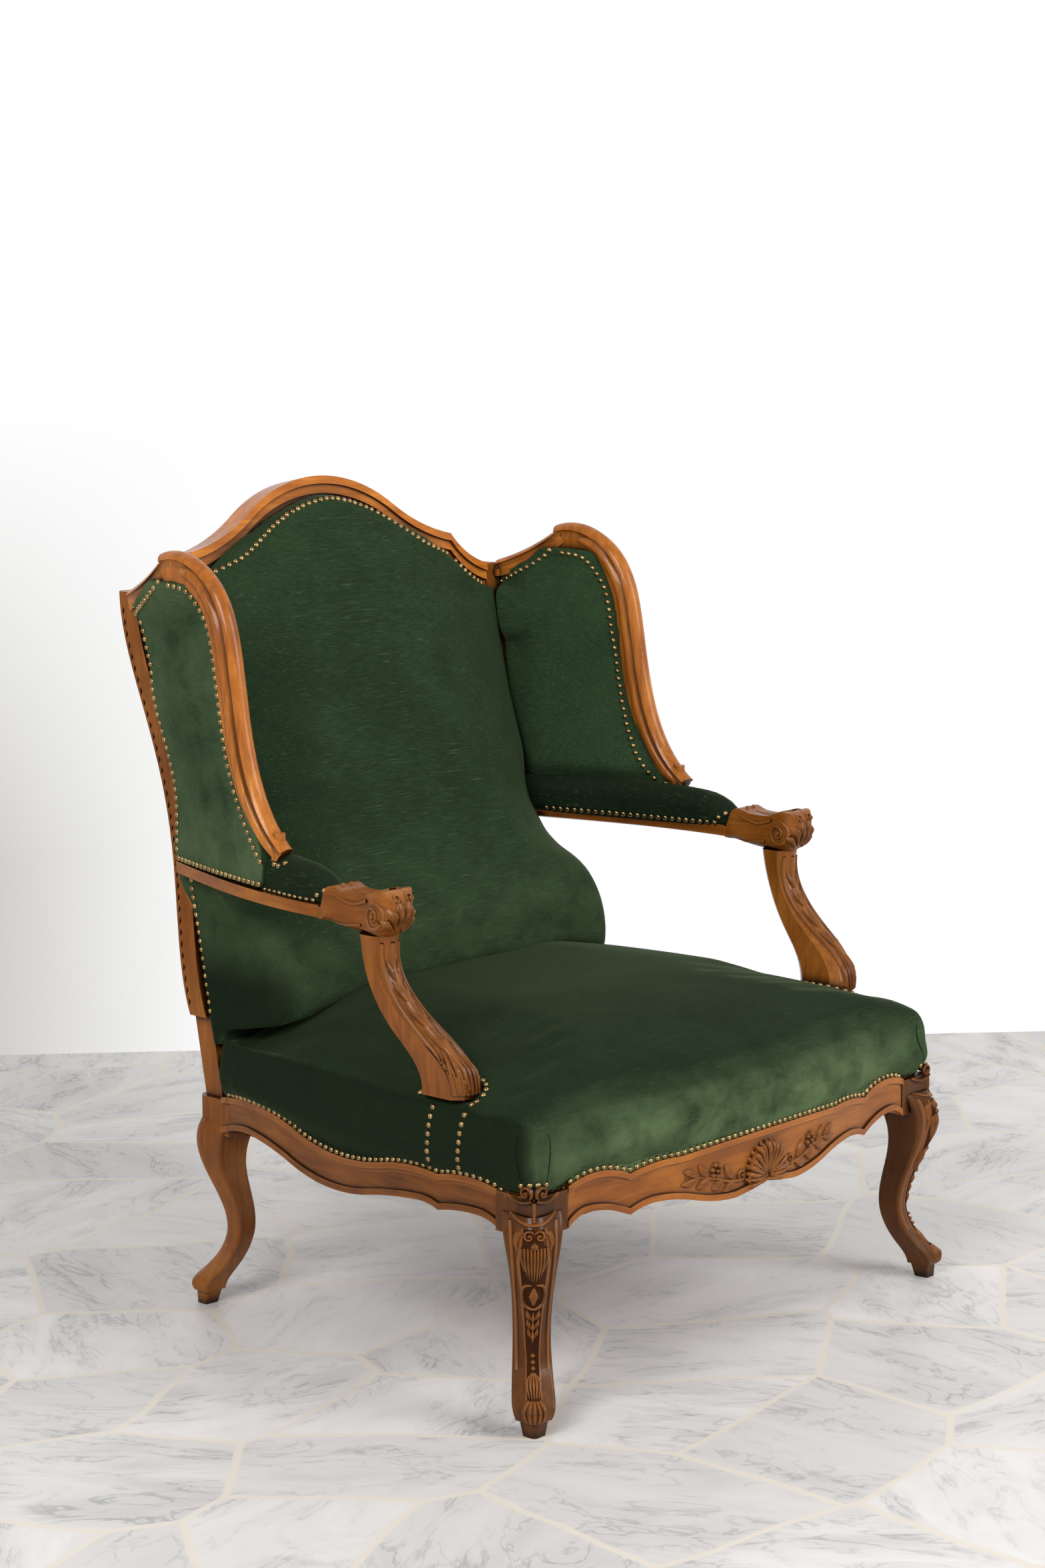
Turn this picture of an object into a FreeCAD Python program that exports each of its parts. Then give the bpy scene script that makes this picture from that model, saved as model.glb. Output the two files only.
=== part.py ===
import FreeCAD, Part
import math
import os
from types import SimpleNamespace

import Sketcher
from FreeCAD import Placement, Rotation, Vector

# A winged open-arm chair: a carved beech frame with tight upholstery. Millimetres, X to the
# sitter's left, Y to the back, Z up, floor at zero.

SIZES = {
    # Seat frame in plan
    "front_half_width": 404,
    "front_corner_y": -378,
    "front_bow": 33,
    "side_bow": 16,
    "leg_block": 60,
    "rear_half_width": 331,
    "rear_block": 58,
    "rear_block_back_y": 278,
    "rail_thickness": 32,
    "bead_width": 8,
    "field_depth": 3,
    "block_top": 284,
    "block_bottom": 236,
    "tenon_length": 34,
    "tenon_thickness": 11,
    "tenon_height": 30,
    "tenon_bottom": 246,
    "joint_clearance": 0.2,
    # Front rail edges, as heights where the curve turns
    "front_cusp_x": 241,
    "front_hip_x": 160,
    "front_ear_x": 311,
    "front_hollow_x": 200,
    "front_turn_x": 135,
    "front_lobe_x": 62,
    "front_top_joint": 287.5,
    "front_top_cusp": 283,
    "front_top_hip": 289.3,
    "front_low_joint": 237,
    "front_low_ear": 249.5,
    "front_low_cusp": 232,
    "front_low_hollow": 240,
    "front_low_turn": 229.5,
    "front_low_lobe": 218,
    "front_low_middle": 227,
    # Carved shell in the middle of the front rail
    "shell_hinge_z": 231,
    "shell_radius": 47,
    "shell_rib_tip": 6.5,
    "shell_rib_root": 2,
    "shell_spread": 76,
    "shell_ribs": 9,
    # Side rail edges, along the rail from the front corner
    "side_cusp": 160,
    "side_slope": 258,
    "side_rise": 447,
    "side_low_slope": 280,
    "side_low_hip": 195,
    "side_ear": 88,
    "side_rear_ear": 548,
    "side_top_front": 276,
    "side_top_cusp": 283,
    "side_top_slope": 278,
    "side_top_rise": 283,
    "side_top_rear": 287,
    "side_low_front": 226,
    "side_low_ear": 247,
    "side_low_cusp": 239,
    "side_low_hip_z": 244,
    "side_low_slope_z": 232,
    "side_low_rise_z": 234,
    "side_low_rear_ear": 252.5,
    "side_low_rear": 238,
    # Scrolled leg: height, set outwards from the corner, depth and width of each station
    "foot_set": 0.5,
    "foot_width": 26,
    "peg_top": 20,
    "peg_set": -2,
    "peg_width": 34,
    "toe_height": 30,
    "toe_set": -3,
    "toe_depth": 48,
    "toe_width": 50,
    "instep_height": 47,
    "instep_set": -17,
    "instep_depth": 44,
    "instep_width": 51,
    "ankle_height": 100,
    "ankle_set": -45,
    "ankle_depth": 37,
    "ankle_width": 45.5,
    "shin_height": 150,
    "shin_set": -36.5,
    "shin_depth": 45,
    "shin_width": 48,
    "knee_height": 200,
    "knee_set": -22.5,
    "knee_depth": 61,
    "knee_width": 58,
    "hip_height": 238,
    "hip_set": -27,
    "hip_depth": 75,
    "hip_width": 70,
    "leg_top": 262,
    "leg_top_set": -40,
    "leg_top_depth": 78,
    "leg_top_width": 70,
    "rear_leg_inset": 7,
    "rear_corner_chamfer": 9,
    # Back: the uprights lean back, and their outline swells like a violin
    "back_foot_z": 290,
    "back_rear_y": 278,
    "back_lean": 0.186,
    "stile_depth": 40,
    "stile_width": 34,
    "stile_chamfer": 9,
    "stile_plain_top": 392,
    "stile_plain_x": 324,
    "stile_hip_z": 440,
    "stile_hip_x": 337,
    "stile_waist_z": 640,
    "stile_waist_x": 323,
    "stile_shoulder_z": 880,
    "stile_shoulder_x": 353,
    "stile_top_z": 943,
    "stile_top_x": 352,
    "crest_thickness": 30,
    "crest_ear_x": 250,
    "crest_ear_z": 989,
    "crest_turn_x": 140,
    "crest_turn_z": 1035,
    "crest_peak_z": 1080,
    "crest_low_end_z": 892,
    "crest_low_peak_z": 1012,
    "crest_band": 24,
    "crest_band_step": 5,
    "crest_bead": 11,
    "crest_bead_step": 4,
    "lower_rail_z": 396,
    "lower_rail_height": 42,
    "lower_rail_thickness": 26,
    # Wing: its front edge and top edge lie in a plane that opens a little to the front
    "wing_front_x": 396,
    "wing_front_y": 32,
    "wing_splay": 0.0588,
    "wing_thickness": 25,
    "wing_band": 38,
    "wing_top_band": 26,
    "wing_corner_y": 270,
    "wing_corner_z": 1000,
    "wing_brow_y": 230,
    "wing_brow_z": 1004,
    "wing_shoulder_y": 153,
    "wing_shoulder_z": 960,
    "wing_straight_y": 118,
    "wing_straight_z": 860,
    "wing_sweep_y": 90,
    "wing_sweep_z": 732,
    "wing_nose_z": 648,
    "wing_dip_y": 310,
    "wing_dip_z": 968,
    "wing_draw_in": 25,
    "wing_peg_set": 18,
    "peg_radius": 8,
    "peg_depth": 12,
    "small_tenon": 10,
    # Arm: rail, hand and the support under it
    "arm_rear_x": 327,
    "arm_rear_width": 42,
    "arm_front_x": 400,
    "arm_front_y": -47,
    "arm_width": 50,
    "arm_low": 573,
    "arm_rail_height": 19,
    "arm_low_rear": 577,
    "hand_y": -147,
    "hand_length": 46,
    "hand_width": 54,
    "hand_neck_width": 42,
    "hand_top": 621,
    "support_top": 565,
    "support_base_z": 380,
    "support_base_y": -224,
    "support_base_x": 380,
    "support_base_width": 50,
    "support_base_depth": 68,
    "support_neck_width": 42,
    "support_neck_depth": 38,
    "support_foot_thickness": 26,
    # Upholstery
    "seat_bottom": 258,
    "seat_rim": 372,
    "seat_crown": 436,
    "seat_side_inset": -3,
    "seat_corner": 25,
    "seat_front_set": 3,
    "seat_back_y": 234,
    "cover_thickness": 3,
    "spring_top": 318,
    "spring_radius": 30,
    "spring_turns": 5,
    "spring_wire": 3.6,
    "spring_step": 165,
    "seat_middle_y": -62,
    "web_level": 234,
    "web_width": 55,
    "web_thickness": 2,
    "web_step": 105,
    "dust_level": 232.4,
    "dust_thickness": 1.5,
    "hessian_thickness": 1.5,
    "back_pad_top_depth": 24,
    "back_pad_half_width": 330,
    "back_pad_upper_depth": 78,
    "back_pad_waist_depth": 100,
    "back_pad_hollow_depth": 147,
    "back_pad_lumbar_depth": 182,
    "back_pad_foot_depth": 146,
    "back_pad_foot_z": 354,
    "back_pad_waist_z": 640,
    "back_pad_hollow_z": 545,
    "back_pad_lumbar_z": 475,
    "back_core_half_width": 226,
    "back_core_share": 0.76,
    "back_core_top_z": 880,
    "back_core_through": 6,
    "wing_pad_crown": 13,
    "wing_pad_edge": 18,
    "arm_pad_height": 40,
    "soft_gap": 0.3,
}


class Size:
    """A length: its value now, and the expression that keeps it tied to the sheet."""

    def __init__(self, value, text):
        self.value = value
        self.text = text

    def joined(self, sign, other, value):
        return Size(value, "(%s %s %s)" % (self.text, sign, text_of(other)))

    def __add__(self, other):
        return self.joined("+", other, self.value + value_of(other))

    def __sub__(self, other):
        return self.joined("-", other, self.value - value_of(other))

    def __mul__(self, other):
        return self.joined("*", other, self.value * value_of(other))

    def __truediv__(self, other):
        return self.joined("/", other, self.value / value_of(other))

    def __neg__(self):
        return Size(-self.value, "(0 - %s)" % self.text)

    def __radd__(self, other):
        return self + other

    def __rmul__(self, other):
        return self * other

    def __rsub__(self, other):
        return -self + other


def value_of(size):
    return size.value if isinstance(size, Size) else size


def text_of(size):
    return size.text if isinstance(size, Size) else "%.9g" % size


doc = FreeCAD.newDocument("winged_armchair")
sheet = doc.addObject("Spreadsheet::Sheet", "sizes")
for row, (name, number) in enumerate(SIZES.items(), start=1):
    sheet.set("A%d" % row, name.replace("_", " "))
    sheet.set("B%d" % row, str(number))
    sheet.setAlias("B%d" % row, name)
doc.recompute()

# The same sizes, once as expressions for sketches and features and once as plain numbers
dim = SimpleNamespace(**{name: Size(sheet.get(name), "sizes." + name) for name in SIZES})
num = SimpleNamespace(**{name: sheet.get(name) for name in SIZES})
pieces = []


def keep(piece, label):
    piece.Label = label
    pieces.append(piece)
    return piece


def keep_shape(label, shape):
    piece = doc.addObject("Part::Feature", label)
    piece.Shape = shape
    piece.Placement = Placement()
    return keep(piece, label)


def mirrored(source, label):
    twin = doc.addObject("Part::Mirroring", label)
    twin.Source = source
    twin.Normal = Vector(1, 0, 0)
    return keep(twin, label)


def bind(piece, field, size):
    piece.setExpression(field, text_of(size))


# Drawing in sketches

def point(place):
    return Vector(value_of(place[0]), value_of(place[1]), 0)


def pin(sketch, index, end, place):
    """Hold a point of the sketch at a place measured from its origin."""
    for kind, size in zip(("DistanceX", "DistanceY"), place):
        rule = sketch.addConstraint(Sketcher.Constraint(kind, -1, 1, index, end, value_of(size)))
        if isinstance(size, Size):
            sketch.setExpression("Constraints[%d]" % rule, size.text)


def turns_left(start, middle, end):
    first = point(middle) - point(start)
    second = point(end) - point(middle)
    return first.x * second.y - first.y * second.x > 0


def draw(sketch, start, *runs):
    """A closed outline. A run is (end,) for a straight line and (middle, end) for an arc."""
    drawn = []
    here = start
    for run in runs:
        goal = run[-1]
        if len(run) == 1:
            index = sketch.addGeometry(Part.LineSegment(point(here), point(goal)), False)
            ends = (1, 2)
        elif turns_left(here, run[0], goal):
            index = sketch.addGeometry(Part.Arc(point(here), point(run[0]), point(goal)), False)
            ends = (1, 2)
        else:
            index = sketch.addGeometry(Part.Arc(point(goal), point(run[0]), point(here)), False)
            ends = (2, 1)
        if len(run) == 2:
            mark = sketch.addGeometry(Part.Point(point(run[0])), True)
            sketch.addConstraint(Sketcher.Constraint("PointOnObject", mark, 1, index))
            pin(sketch, mark, 1, run[0])
        pin(sketch, index, ends[0], here)
        drawn.append((index, ends))
        here = goal
    for (index, ends), (following, next_ends) in zip(drawn, drawn[1:] + drawn[:1]):
        sketch.addConstraint(Sketcher.Constraint("Coincident", index, ends[1], following, next_ends[0]))


def arched(start, end, rise):
    """The run from start to end whose middle stands off the chord by rise."""
    middle = ((start[0] + end[0]) / 2, (start[1] + end[1]) / 2 + rise)
    return (middle, end)


def edge_runs(places):
    """Runs along an edge given as (x, z, rise of the arc that arrives there)."""
    runs = []
    for before, after in zip(places, places[1:]):
        runs.append(arched(before[:2], after[:2], after[2]))
    return runs


def backwards(places):
    rises = [place[2] for place in places[1:]] + [0]
    return [(place[0], place[1], rise) for place, rise in zip(places[::-1], [0] + rises[-2::-1])]


def flipped(places):
    return [(-place[0], place[1], place[2]) for place in places]


def free_sketch(name, turn=None):
    sketch = doc.addObject("Sketcher::SketchObject", name)
    if turn:
        sketch.Placement = Placement(Vector(), turn)
    return sketch


UPRIGHT = Rotation(Vector(1, 0, 0), 90)


def extruded(name, sketch, ahead):
    solid = doc.addObject("Part::Extrusion", name)
    solid.Base = sketch
    solid.DirMode = "Normal"
    solid.Solid = True
    bind(solid, "LengthFwd", ahead)
    return solid


def shared(name, first, second):
    solid = doc.addObject("Part::Common", name)
    solid.Base = first
    solid.Tool = second
    return solid


def without(name, base, tool):
    solid = doc.addObject("Part::Cut", name)
    solid.Base = base
    solid.Tool = tool
    return solid


def fused(name, solids):
    solid = doc.addObject("Part::MultiFuse", name)
    solid.Shapes = solids
    return solid


def box(name, sides, corner, turn=0, around=(0, 0)):
    """A box with its sizes and corner bound; turn is about Z at the place called around."""
    solid = doc.addObject("Part::Box", name)
    for field, size in zip(("Length", "Width", "Height"), sides):
        bind(solid, field, size)
    spin = Rotation(Vector(0, 0, 1), turn)
    solid.Placement = Placement(Vector(), spin)
    if turn:
        local = spin.multVec(Vector(*[value_of(size) for size in corner]))
        solid.Placement.Base = local + Vector(value_of(around[0]), value_of(around[1]), 0)
    else:
        for axis, size in zip("xyz", corner):
            bind(solid, "Placement.Base." + axis, size)
    return solid


# Drawing wires for the sculpted pieces

def wire(start, *runs):
    edges = []
    here = start
    for run in runs:
        if len(run) == 1:
            edges.append(Part.makeLine(here, run[0]))
        else:
            edges.append(Part.Arc(here, run[0], run[1]).toShape())
        here = run[-1]
    return Part.Wire(edges)


def other_side(shape):
    return shape.mirror(Vector(), Vector(1, 0, 0))


def lofted(wires):
    solid = Part.makeLoft(wires, True, False)
    if solid.Volume < 0:
        solid.reverse()
    return solid


# Serpentine seat rails: an elevation crossed with a plan, with a field sunk between two beads

def front_half_top(inset):
    joint = dim.front_half_width - dim.leg_block
    return [
        (joint, dim.front_top_joint - inset, 0),
        (dim.front_cusp_x, dim.front_top_cusp - inset, 10.5),
        (dim.front_hip_x, dim.front_top_hip - inset, 3.5),
    ]


def front_half_low(inset):
    joint = dim.front_half_width - dim.leg_block
    return [
        (joint, dim.front_low_joint + inset, 0),
        (dim.front_ear_x, dim.front_low_ear + inset, 3.5),
        (dim.front_cusp_x, dim.front_low_cusp + inset, 4),
        (dim.front_hollow_x, dim.front_low_hollow + inset, 2),
        (dim.front_turn_x, dim.front_low_turn + inset, 2.2),
        (dim.front_lobe_x, dim.front_low_lobe + inset, -2.5),
        (0, dim.front_low_middle + inset, -1),
    ]


def front_elevation(name, inset):
    sketch = free_sketch(name, UPRIGHT)
    top = front_half_top(inset)
    low = front_half_low(inset)
    top_left = flipped(backwards(top))
    low_left = flipped(low)
    low_right = backwards(low)
    hip = top[-1]
    runs = edge_runs(top)
    runs.append(((0, hip[1] + 4.9), top_left[0][:2]))
    runs += edge_runs(top_left)
    runs.append((low_left[0][:2],))
    runs += edge_runs(low_left[:-1])
    runs.append(arched(low_left[-2][:2], low_left[-1][:2], low_left[-1][2]))
    runs += edge_runs(low_right)
    runs.append((top[0][:2],))
    draw(sketch, top[0][:2], *runs)
    return sketch


def front_plan(name, ahead, behind):
    """The band between two serpentine lines parallel to the front face."""
    sketch = free_sketch(name)
    half = dim.front_half_width

    def line(shift):
        corner = dim.front_corner_y + shift
        turn = corner - dim.front_bow / 2
        return [
            (half, corner),
            (half * 0.75, corner - dim.front_bow / 8),
            (half / 2, turn),
            (0, corner - dim.front_bow),
            (-(half / 2), turn),
            (-(half * 0.75), corner - dim.front_bow / 8),
            (-half, corner),
        ]

    front = line(ahead)
    back = line(behind)[::-1]
    runs = [(front[1], front[2]), (front[3], front[4]), (front[5], front[6]), (back[0],)]
    runs += [(back[1], back[2]), (back[3], back[4]), (back[5], back[6]), (front[0],)]
    draw(sketch, front[0], *runs)
    return sketch


def scallop():
    """The fan of tapered ribs carved in the middle of the front rail."""
    ribs = []
    face = num.front_corner_y - num.front_bow + num.field_depth
    for count in range(int(num.shell_ribs)):
        lean = num.shell_spread * (2 * count / (num.shell_ribs - 1) - 1)
        reach = num.shell_radius * (1 - 0.12 * abs(lean) / num.shell_spread)
        rib = Part.makeCone(num.shell_rib_root, num.shell_rib_tip, reach)
        rib.rotate(Vector(), Vector(0, 1, 0), lean)
        rib.translate(Vector(0, face, num.shell_hinge_z))
        piece = doc.addObject("Part::Feature", "shell_rib_%d" % count)
        piece.Shape = rib
        ribs.append(piece)
    return ribs


def front_seat_rail():
    blank = shared(
        "front_rail_blank",
        extruded("front_rail_height", front_elevation("front_rail_edges", 0), -dim.front_corner_y * 1.3),
        extruded("front_rail_width", front_plan("front_rail_line", 0, dim.rail_thickness), dim.seat_rim),
    )
    field = shared(
        "front_rail_field",
        extruded("front_field_height", front_elevation("front_field_edges", dim.bead_width),
                 -dim.front_corner_y * 1.3),
        extruded("front_field_width", front_plan("front_field_line", -dim.field_depth, dim.field_depth),
                 dim.seat_rim),
    )
    moulded = without("front_rail_moulded", blank, field)
    joint = dim.front_half_width - dim.leg_block
    tenon_y = dim.front_corner_y + dim.rail_thickness / 2 - dim.tenon_thickness / 2
    tenons = []
    for side, corner_x in (("right", joint), ("left", -joint - dim.tenon_length)):
        tenons.append(box("front_tenon_" + side,
                          (dim.tenon_length, dim.tenon_thickness, dim.tenon_height),
                          (corner_x, tenon_y, dim.tenon_bottom)))
    rail = fused("front_seat_rail", [moulded] + scallop() + tenons)
    return keep(rail, "front_seat_rail")


side_run = (num.rear_half_width - num.front_half_width,
            num.rear_block_back_y - num.rear_block - num.front_corner_y)
side_length = math.hypot(*side_run)
side_turn = math.degrees(math.atan2(side_run[1], side_run[0]))


def side_top(inset):
    return [
        (dim.leg_block / 2, dim.side_top_front - inset, 0),
        (dim.side_cusp, dim.side_top_cusp - inset, 10.5),
        (dim.side_slope, dim.side_top_slope - inset, 4),
        (dim.side_rise, dim.side_top_rise - inset, -13.5),
        (side_length + num.rear_block / 4, dim.side_top_rear - inset, 10),
    ]


def side_low(inset):
    return [
        (dim.leg_block * 0.7, dim.side_low_front + inset, 0),
        (dim.side_ear, dim.side_low_ear + inset, 5),
        (dim.side_cusp, dim.side_low_cusp + inset, 2.5),
        (dim.side_low_hip, dim.side_low_hip_z + inset, 1.8),
        (dim.side_low_slope, dim.side_low_slope_z + inset, 1.5),
        (dim.side_rise, dim.side_low_rise_z + inset, -11),
        (dim.side_rear_ear, dim.side_low_rear_ear + inset, 3),
        (side_length + num.rear_block / 4, dim.side_low_rear + inset, 4),
    ]


def side_elevation(name, inset):
    sketch = free_sketch(name, UPRIGHT)
    top = side_top(inset)
    low = backwards(side_low(inset))
    runs = edge_runs(top)
    runs.append((low[0][:2],))
    runs += edge_runs(low)
    runs.append((top[0][:2],))
    draw(sketch, top[0][:2], *runs)
    return sketch


def side_plan(name, ahead, behind):
    sketch = free_sketch(name)
    reach = side_length + num.rear_block / 2
    corners = [(0, ahead), (reach, ahead), (reach, behind), (0, behind)]
    draw(sketch, corners[0],
         ((side_length / 2, -dim.side_bow + ahead), corners[1]),
         (corners[2],),
         ((side_length / 2, -dim.side_bow + behind), corners[3]),
         (corners[0],))
    return sketch


def side_blank(name, inset, ahead, behind):
    height = extruded(name + "_height", side_elevation(name + "_edges", inset), dim.rail_thickness * 3)
    height.LengthRev = 3 * num.rail_thickness
    width = extruded(name + "_width", side_plan(name + "_line", ahead, behind), dim.seat_rim)
    return shared(name, height, width)


def front_block(name, height):
    """The square top of the right front leg."""
    return box(name, (dim.leg_block, dim.leg_block, height),
               (dim.front_half_width - dim.leg_block, dim.front_corner_y, 0))


def rear_block(name):
    return box(name, (dim.rear_block, dim.rear_block, dim.seat_rim),
               (dim.rear_half_width - dim.rear_block, dim.rear_block_back_y - dim.rear_block, 0))


def side_tenons(grow):
    """Tenons at both ends of the right side rail, grown by a clearance for their mortises."""
    sides = [dim.tenon_length * 2, dim.tenon_thickness + 2 * grow, dim.tenon_height + 2 * grow]
    across = dim.rail_thickness / 2 - dim.tenon_thickness / 2 - grow
    corner = (dim.front_half_width, dim.front_corner_y)
    label = "mortise" if grow else "tenon"
    boxes = []
    for end, start in (("front", num.leg_block - num.tenon_length + 2),
                       ("rear", side_length - num.tenon_length)):
        boxes.append(box("side_%s_%s" % (end, label), sides,
                         (start - grow, across, dim.tenon_bottom - grow), side_turn, corner))
    return boxes


def side_seat_rail():
    moulded = without("side_rail_moulded",
                      side_blank("side_rail_blank", 0, 0, dim.rail_thickness),
                      side_blank("side_rail_field", dim.bead_width, -dim.field_depth, dim.field_depth))
    moulded.Placement = Placement(Vector(num.front_half_width, num.front_corner_y, 0),
                                  Rotation(Vector(0, 0, 1), side_turn))
    ends = fused("side_rail_ends", [front_block("side_front_end", dim.seat_rim), rear_block("side_rear_end")])
    trimmed = without("side_rail_trimmed", moulded, ends)
    rail = fused("side_seat_rail_right", [trimmed] + side_tenons(0))
    keep(rail, "side_seat_rail_right")
    mirrored(rail, "side_seat_rail_left")
    return rail


# Bodies with lofts

def plane(body, role):
    return next(item for item in body.Origin.OriginFeatures if item.Role == role)


def body_sketch(body, name, role, level=0, along=(0, 0), turn=0):
    sketch = body.newObject("Sketcher::SketchObject", name)
    sketch.AttachmentSupport = (plane(body, role), [""])
    sketch.MapMode = "FlatFace"
    sketch.AttachmentOffset = Placement(Vector(), Rotation(Vector(0, 0, 1), turn))
    for axis, size in zip("xyz", (along[0], along[1], level)):
        bind(sketch, "AttachmentOffset.Base." + axis, size)
    return sketch


def leg_section(sketch, setting, depth, width):
    """A square set corner outwards: round nose, a bead at each side and a soft inner corner."""
    outer = setting + depth / 2
    inner = setting - depth / 2
    bead = width * 0.06
    shoulder = setting + depth * 0.06
    nose = [(outer - depth * 0.10, width * 0.2), (outer, 0), (outer - depth * 0.10, -(width * 0.2))]
    right = [(shoulder + bead * 1.4, width / 2 - bead), (shoulder, width / 2),
             (shoulder - bead * 1.4, width / 2 - bead)]
    left = [(place[0], -place[1]) for place in right]
    heel = [(inner + depth * 0.06, width * 0.1), (inner, 0), (inner + depth * 0.06, -(width * 0.1))]
    draw(sketch, nose[2], (nose[1], nose[0]), (right[0],), (right[1], right[2]), (heel[0],),
         (heel[1], heel[2]), (left[2],), (left[1], left[0]), (nose[2],))


LEG_STATIONS = ("toe", "instep", "ankle", "shin", "knee", "hip")


def add_leg(body, name, along, turn):
    """The scrolled leg on its tapered peg, growing down from a corner of the seat frame."""
    peg_foot = body_sketch(body, name + "_foot", "XY_Plane", 0, along, turn)
    leg_section(peg_foot, dim.foot_set, dim.foot_width, dim.foot_width)
    peg_top = body_sketch(body, name + "_peg_top", "XY_Plane", dim.peg_top, along, turn)
    leg_section(peg_top, dim.peg_set, dim.peg_width, dim.peg_width)
    peg = body.newObject("PartDesign::AdditiveLoft", name + "_peg")
    peg.Profile = peg_foot
    peg.Sections = [peg_top]
    peg.Ruled = True

    rows = [(dim.peg_top - 1, dim.peg_set, dim.peg_width + 8, dim.peg_width + 9)]
    for station in LEG_STATIONS:
        rows.append([getattr(dim, station + "_" + part) for part in ("height", "set", "depth", "width")])
    rows.append((dim.leg_top, dim.leg_top_set, dim.leg_top_depth, dim.leg_top_width))
    sections = []
    for count, (height, setting, depth, width) in enumerate(rows):
        section = body_sketch(body, "%s_section_%d" % (name, count), "XY_Plane", height, along, turn)
        leg_section(section, setting, depth, width)
        sections.append(section)
    leg = body.newObject("PartDesign::AdditiveLoft", name + "_curve")
    leg.Profile = sections[0]
    leg.Sections = sections[1:]


def add_pad(body, name, outline, level, length):
    sketch = body_sketch(body, name + "_outline", "XY_Plane", level)
    draw(sketch, outline[0], *[(corner,) for corner in outline[1:] + outline[:1]])
    pad = body.newObject("PartDesign::Pad", name)
    pad.Profile = sketch
    bind(pad, "Length", length)
    return pad


def rectangle(low_x, high_x, low_y, high_y):
    return [(low_x, low_y), (high_x, low_y), (high_x, high_y), (low_x, high_y)]


def front_tenon_mortise():
    grow = dim.joint_clearance
    joint = dim.front_half_width - dim.leg_block
    tenon_y = dim.front_corner_y + dim.rail_thickness / 2 - dim.tenon_thickness / 2
    return box("front_mortise",
               (dim.tenon_length + grow, dim.tenon_thickness + grow * 2, dim.tenon_height + grow * 2),
               (joint, tenon_y - grow, dim.tenon_bottom - grow))


def front_leg(mortises):
    body = doc.addObject("PartDesign::Body", "front_leg_blank")
    add_leg(body, "front_leg", (dim.front_half_width, dim.front_corner_y), -45)
    outline = rectangle(dim.front_half_width - dim.leg_block, dim.front_half_width,
                        dim.front_corner_y, dim.front_corner_y + dim.leg_block)
    add_pad(body, "front_leg_block", outline, dim.block_bottom, dim.block_top - dim.block_bottom)
    leg = without("front_leg_right", body, fused("front_leg_mortises", mortises))
    keep(leg, "front_leg_right")
    return leg, mirrored(leg, "front_leg_left")


def lean_y(height):
    """Depth of the back face of the uprights at a height."""
    return dim.back_rear_y + (height - dim.back_foot_z) * dim.back_lean


def stile_section(body, name, height, outer):
    sketch = body_sketch(body, name, "XY_Plane", height)
    back = lean_y(height)
    cut = dim.stile_chamfer
    inner = outer - dim.stile_width
    corners = [(inner, back - dim.stile_depth), (outer, back - dim.stile_depth), (outer, back - cut),
               (outer - cut, back), (inner, back)]
    draw(sketch, corners[0], *[(corner,) for corner in corners[1:] + corners[:1]])
    return sketch


def rear_post(mortises):
    body = doc.addObject("PartDesign::Body", "rear_post_blank")
    inset = dim.rear_leg_inset
    add_leg(body, "rear_leg", (dim.rear_half_width - inset, dim.rear_block_back_y - inset), 45)
    low_x = dim.rear_half_width - dim.rear_block
    low_y = dim.rear_block_back_y - dim.rear_block
    cut = dim.rear_corner_chamfer
    outline = [(low_x, low_y), (dim.rear_half_width, low_y),
               (dim.rear_half_width, dim.rear_block_back_y - cut),
               (dim.rear_half_width - cut, dim.rear_block_back_y), (low_x, dim.rear_block_back_y)]
    add_pad(body, "rear_block", outline, dim.block_bottom, dim.block_top - dim.block_bottom)
    plain = [(dim.block_top - 30, dim.stile_plain_x), (dim.stile_plain_top, dim.stile_plain_x)]
    swelled = [(dim.stile_plain_top - 2, dim.stile_hip_x - 4), (dim.stile_hip_z, dim.stile_hip_x),
               (dim.stile_waist_z, dim.stile_waist_x), (dim.stile_shoulder_z, dim.stile_shoulder_x),
               (dim.stile_top_z, dim.stile_top_x)]
    for name, rows in (("plain_stile", plain), ("swelled_stile", swelled)):
        sections = [stile_section(body, "%s_%d" % (name, count), height, outer)
                    for count, (height, outer) in enumerate(rows)]
        loft = body.newObject("PartDesign::AdditiveLoft", name)
        loft.Profile = sections[0]
        loft.Sections = sections[1:]
    post = without("rear_post_right", body, fused("rear_post_mortises", mortises))
    keep(post, "rear_post_right")
    return post, mirrored(post, "rear_post_left")


def rear_seat_rail():
    joint = dim.rear_half_width - dim.rear_block
    back = dim.rear_block_back_y - (dim.rear_block - dim.rail_thickness) / 2
    level = dim.side_low_rear
    height = dim.block_top - level
    body = doc.addObject("PartDesign::Body", "rear_seat_rail")
    add_pad(body, "rear_rail_blank",
            rectangle(-joint, joint, back - dim.rail_thickness, back), level, height)
    tenon_back = back - (dim.rail_thickness - dim.tenon_thickness) / 2
    reach = joint + dim.tenon_length
    add_pad(body, "rear_rail_tenons",
            rectangle(-reach, reach, tenon_back - dim.tenon_thickness, tenon_back),
            dim.tenon_bottom, dim.tenon_height)
    grow = dim.joint_clearance
    mortise = box("rear_mortise",
                  (dim.tenon_length + grow, dim.tenon_thickness + grow * 2, dim.tenon_height + grow * 2),
                  (joint, tenon_back - dim.tenon_thickness - grow, dim.tenon_bottom - grow))
    return keep(body, "rear_seat_rail"), mortise


# Back frame: pieces that lie in the leaning plane of the back

lean_angle = math.degrees(math.atan(num.back_lean))
lean_stretch = math.hypot(1, num.back_lean)
lean_turn = Rotation(Vector(1, 0, 0), -lean_angle)


def along_lean(height):
    """Distance up the leaning plane from the crest's springing to a height."""
    return (height - dim.stile_top_z) * lean_stretch


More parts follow.
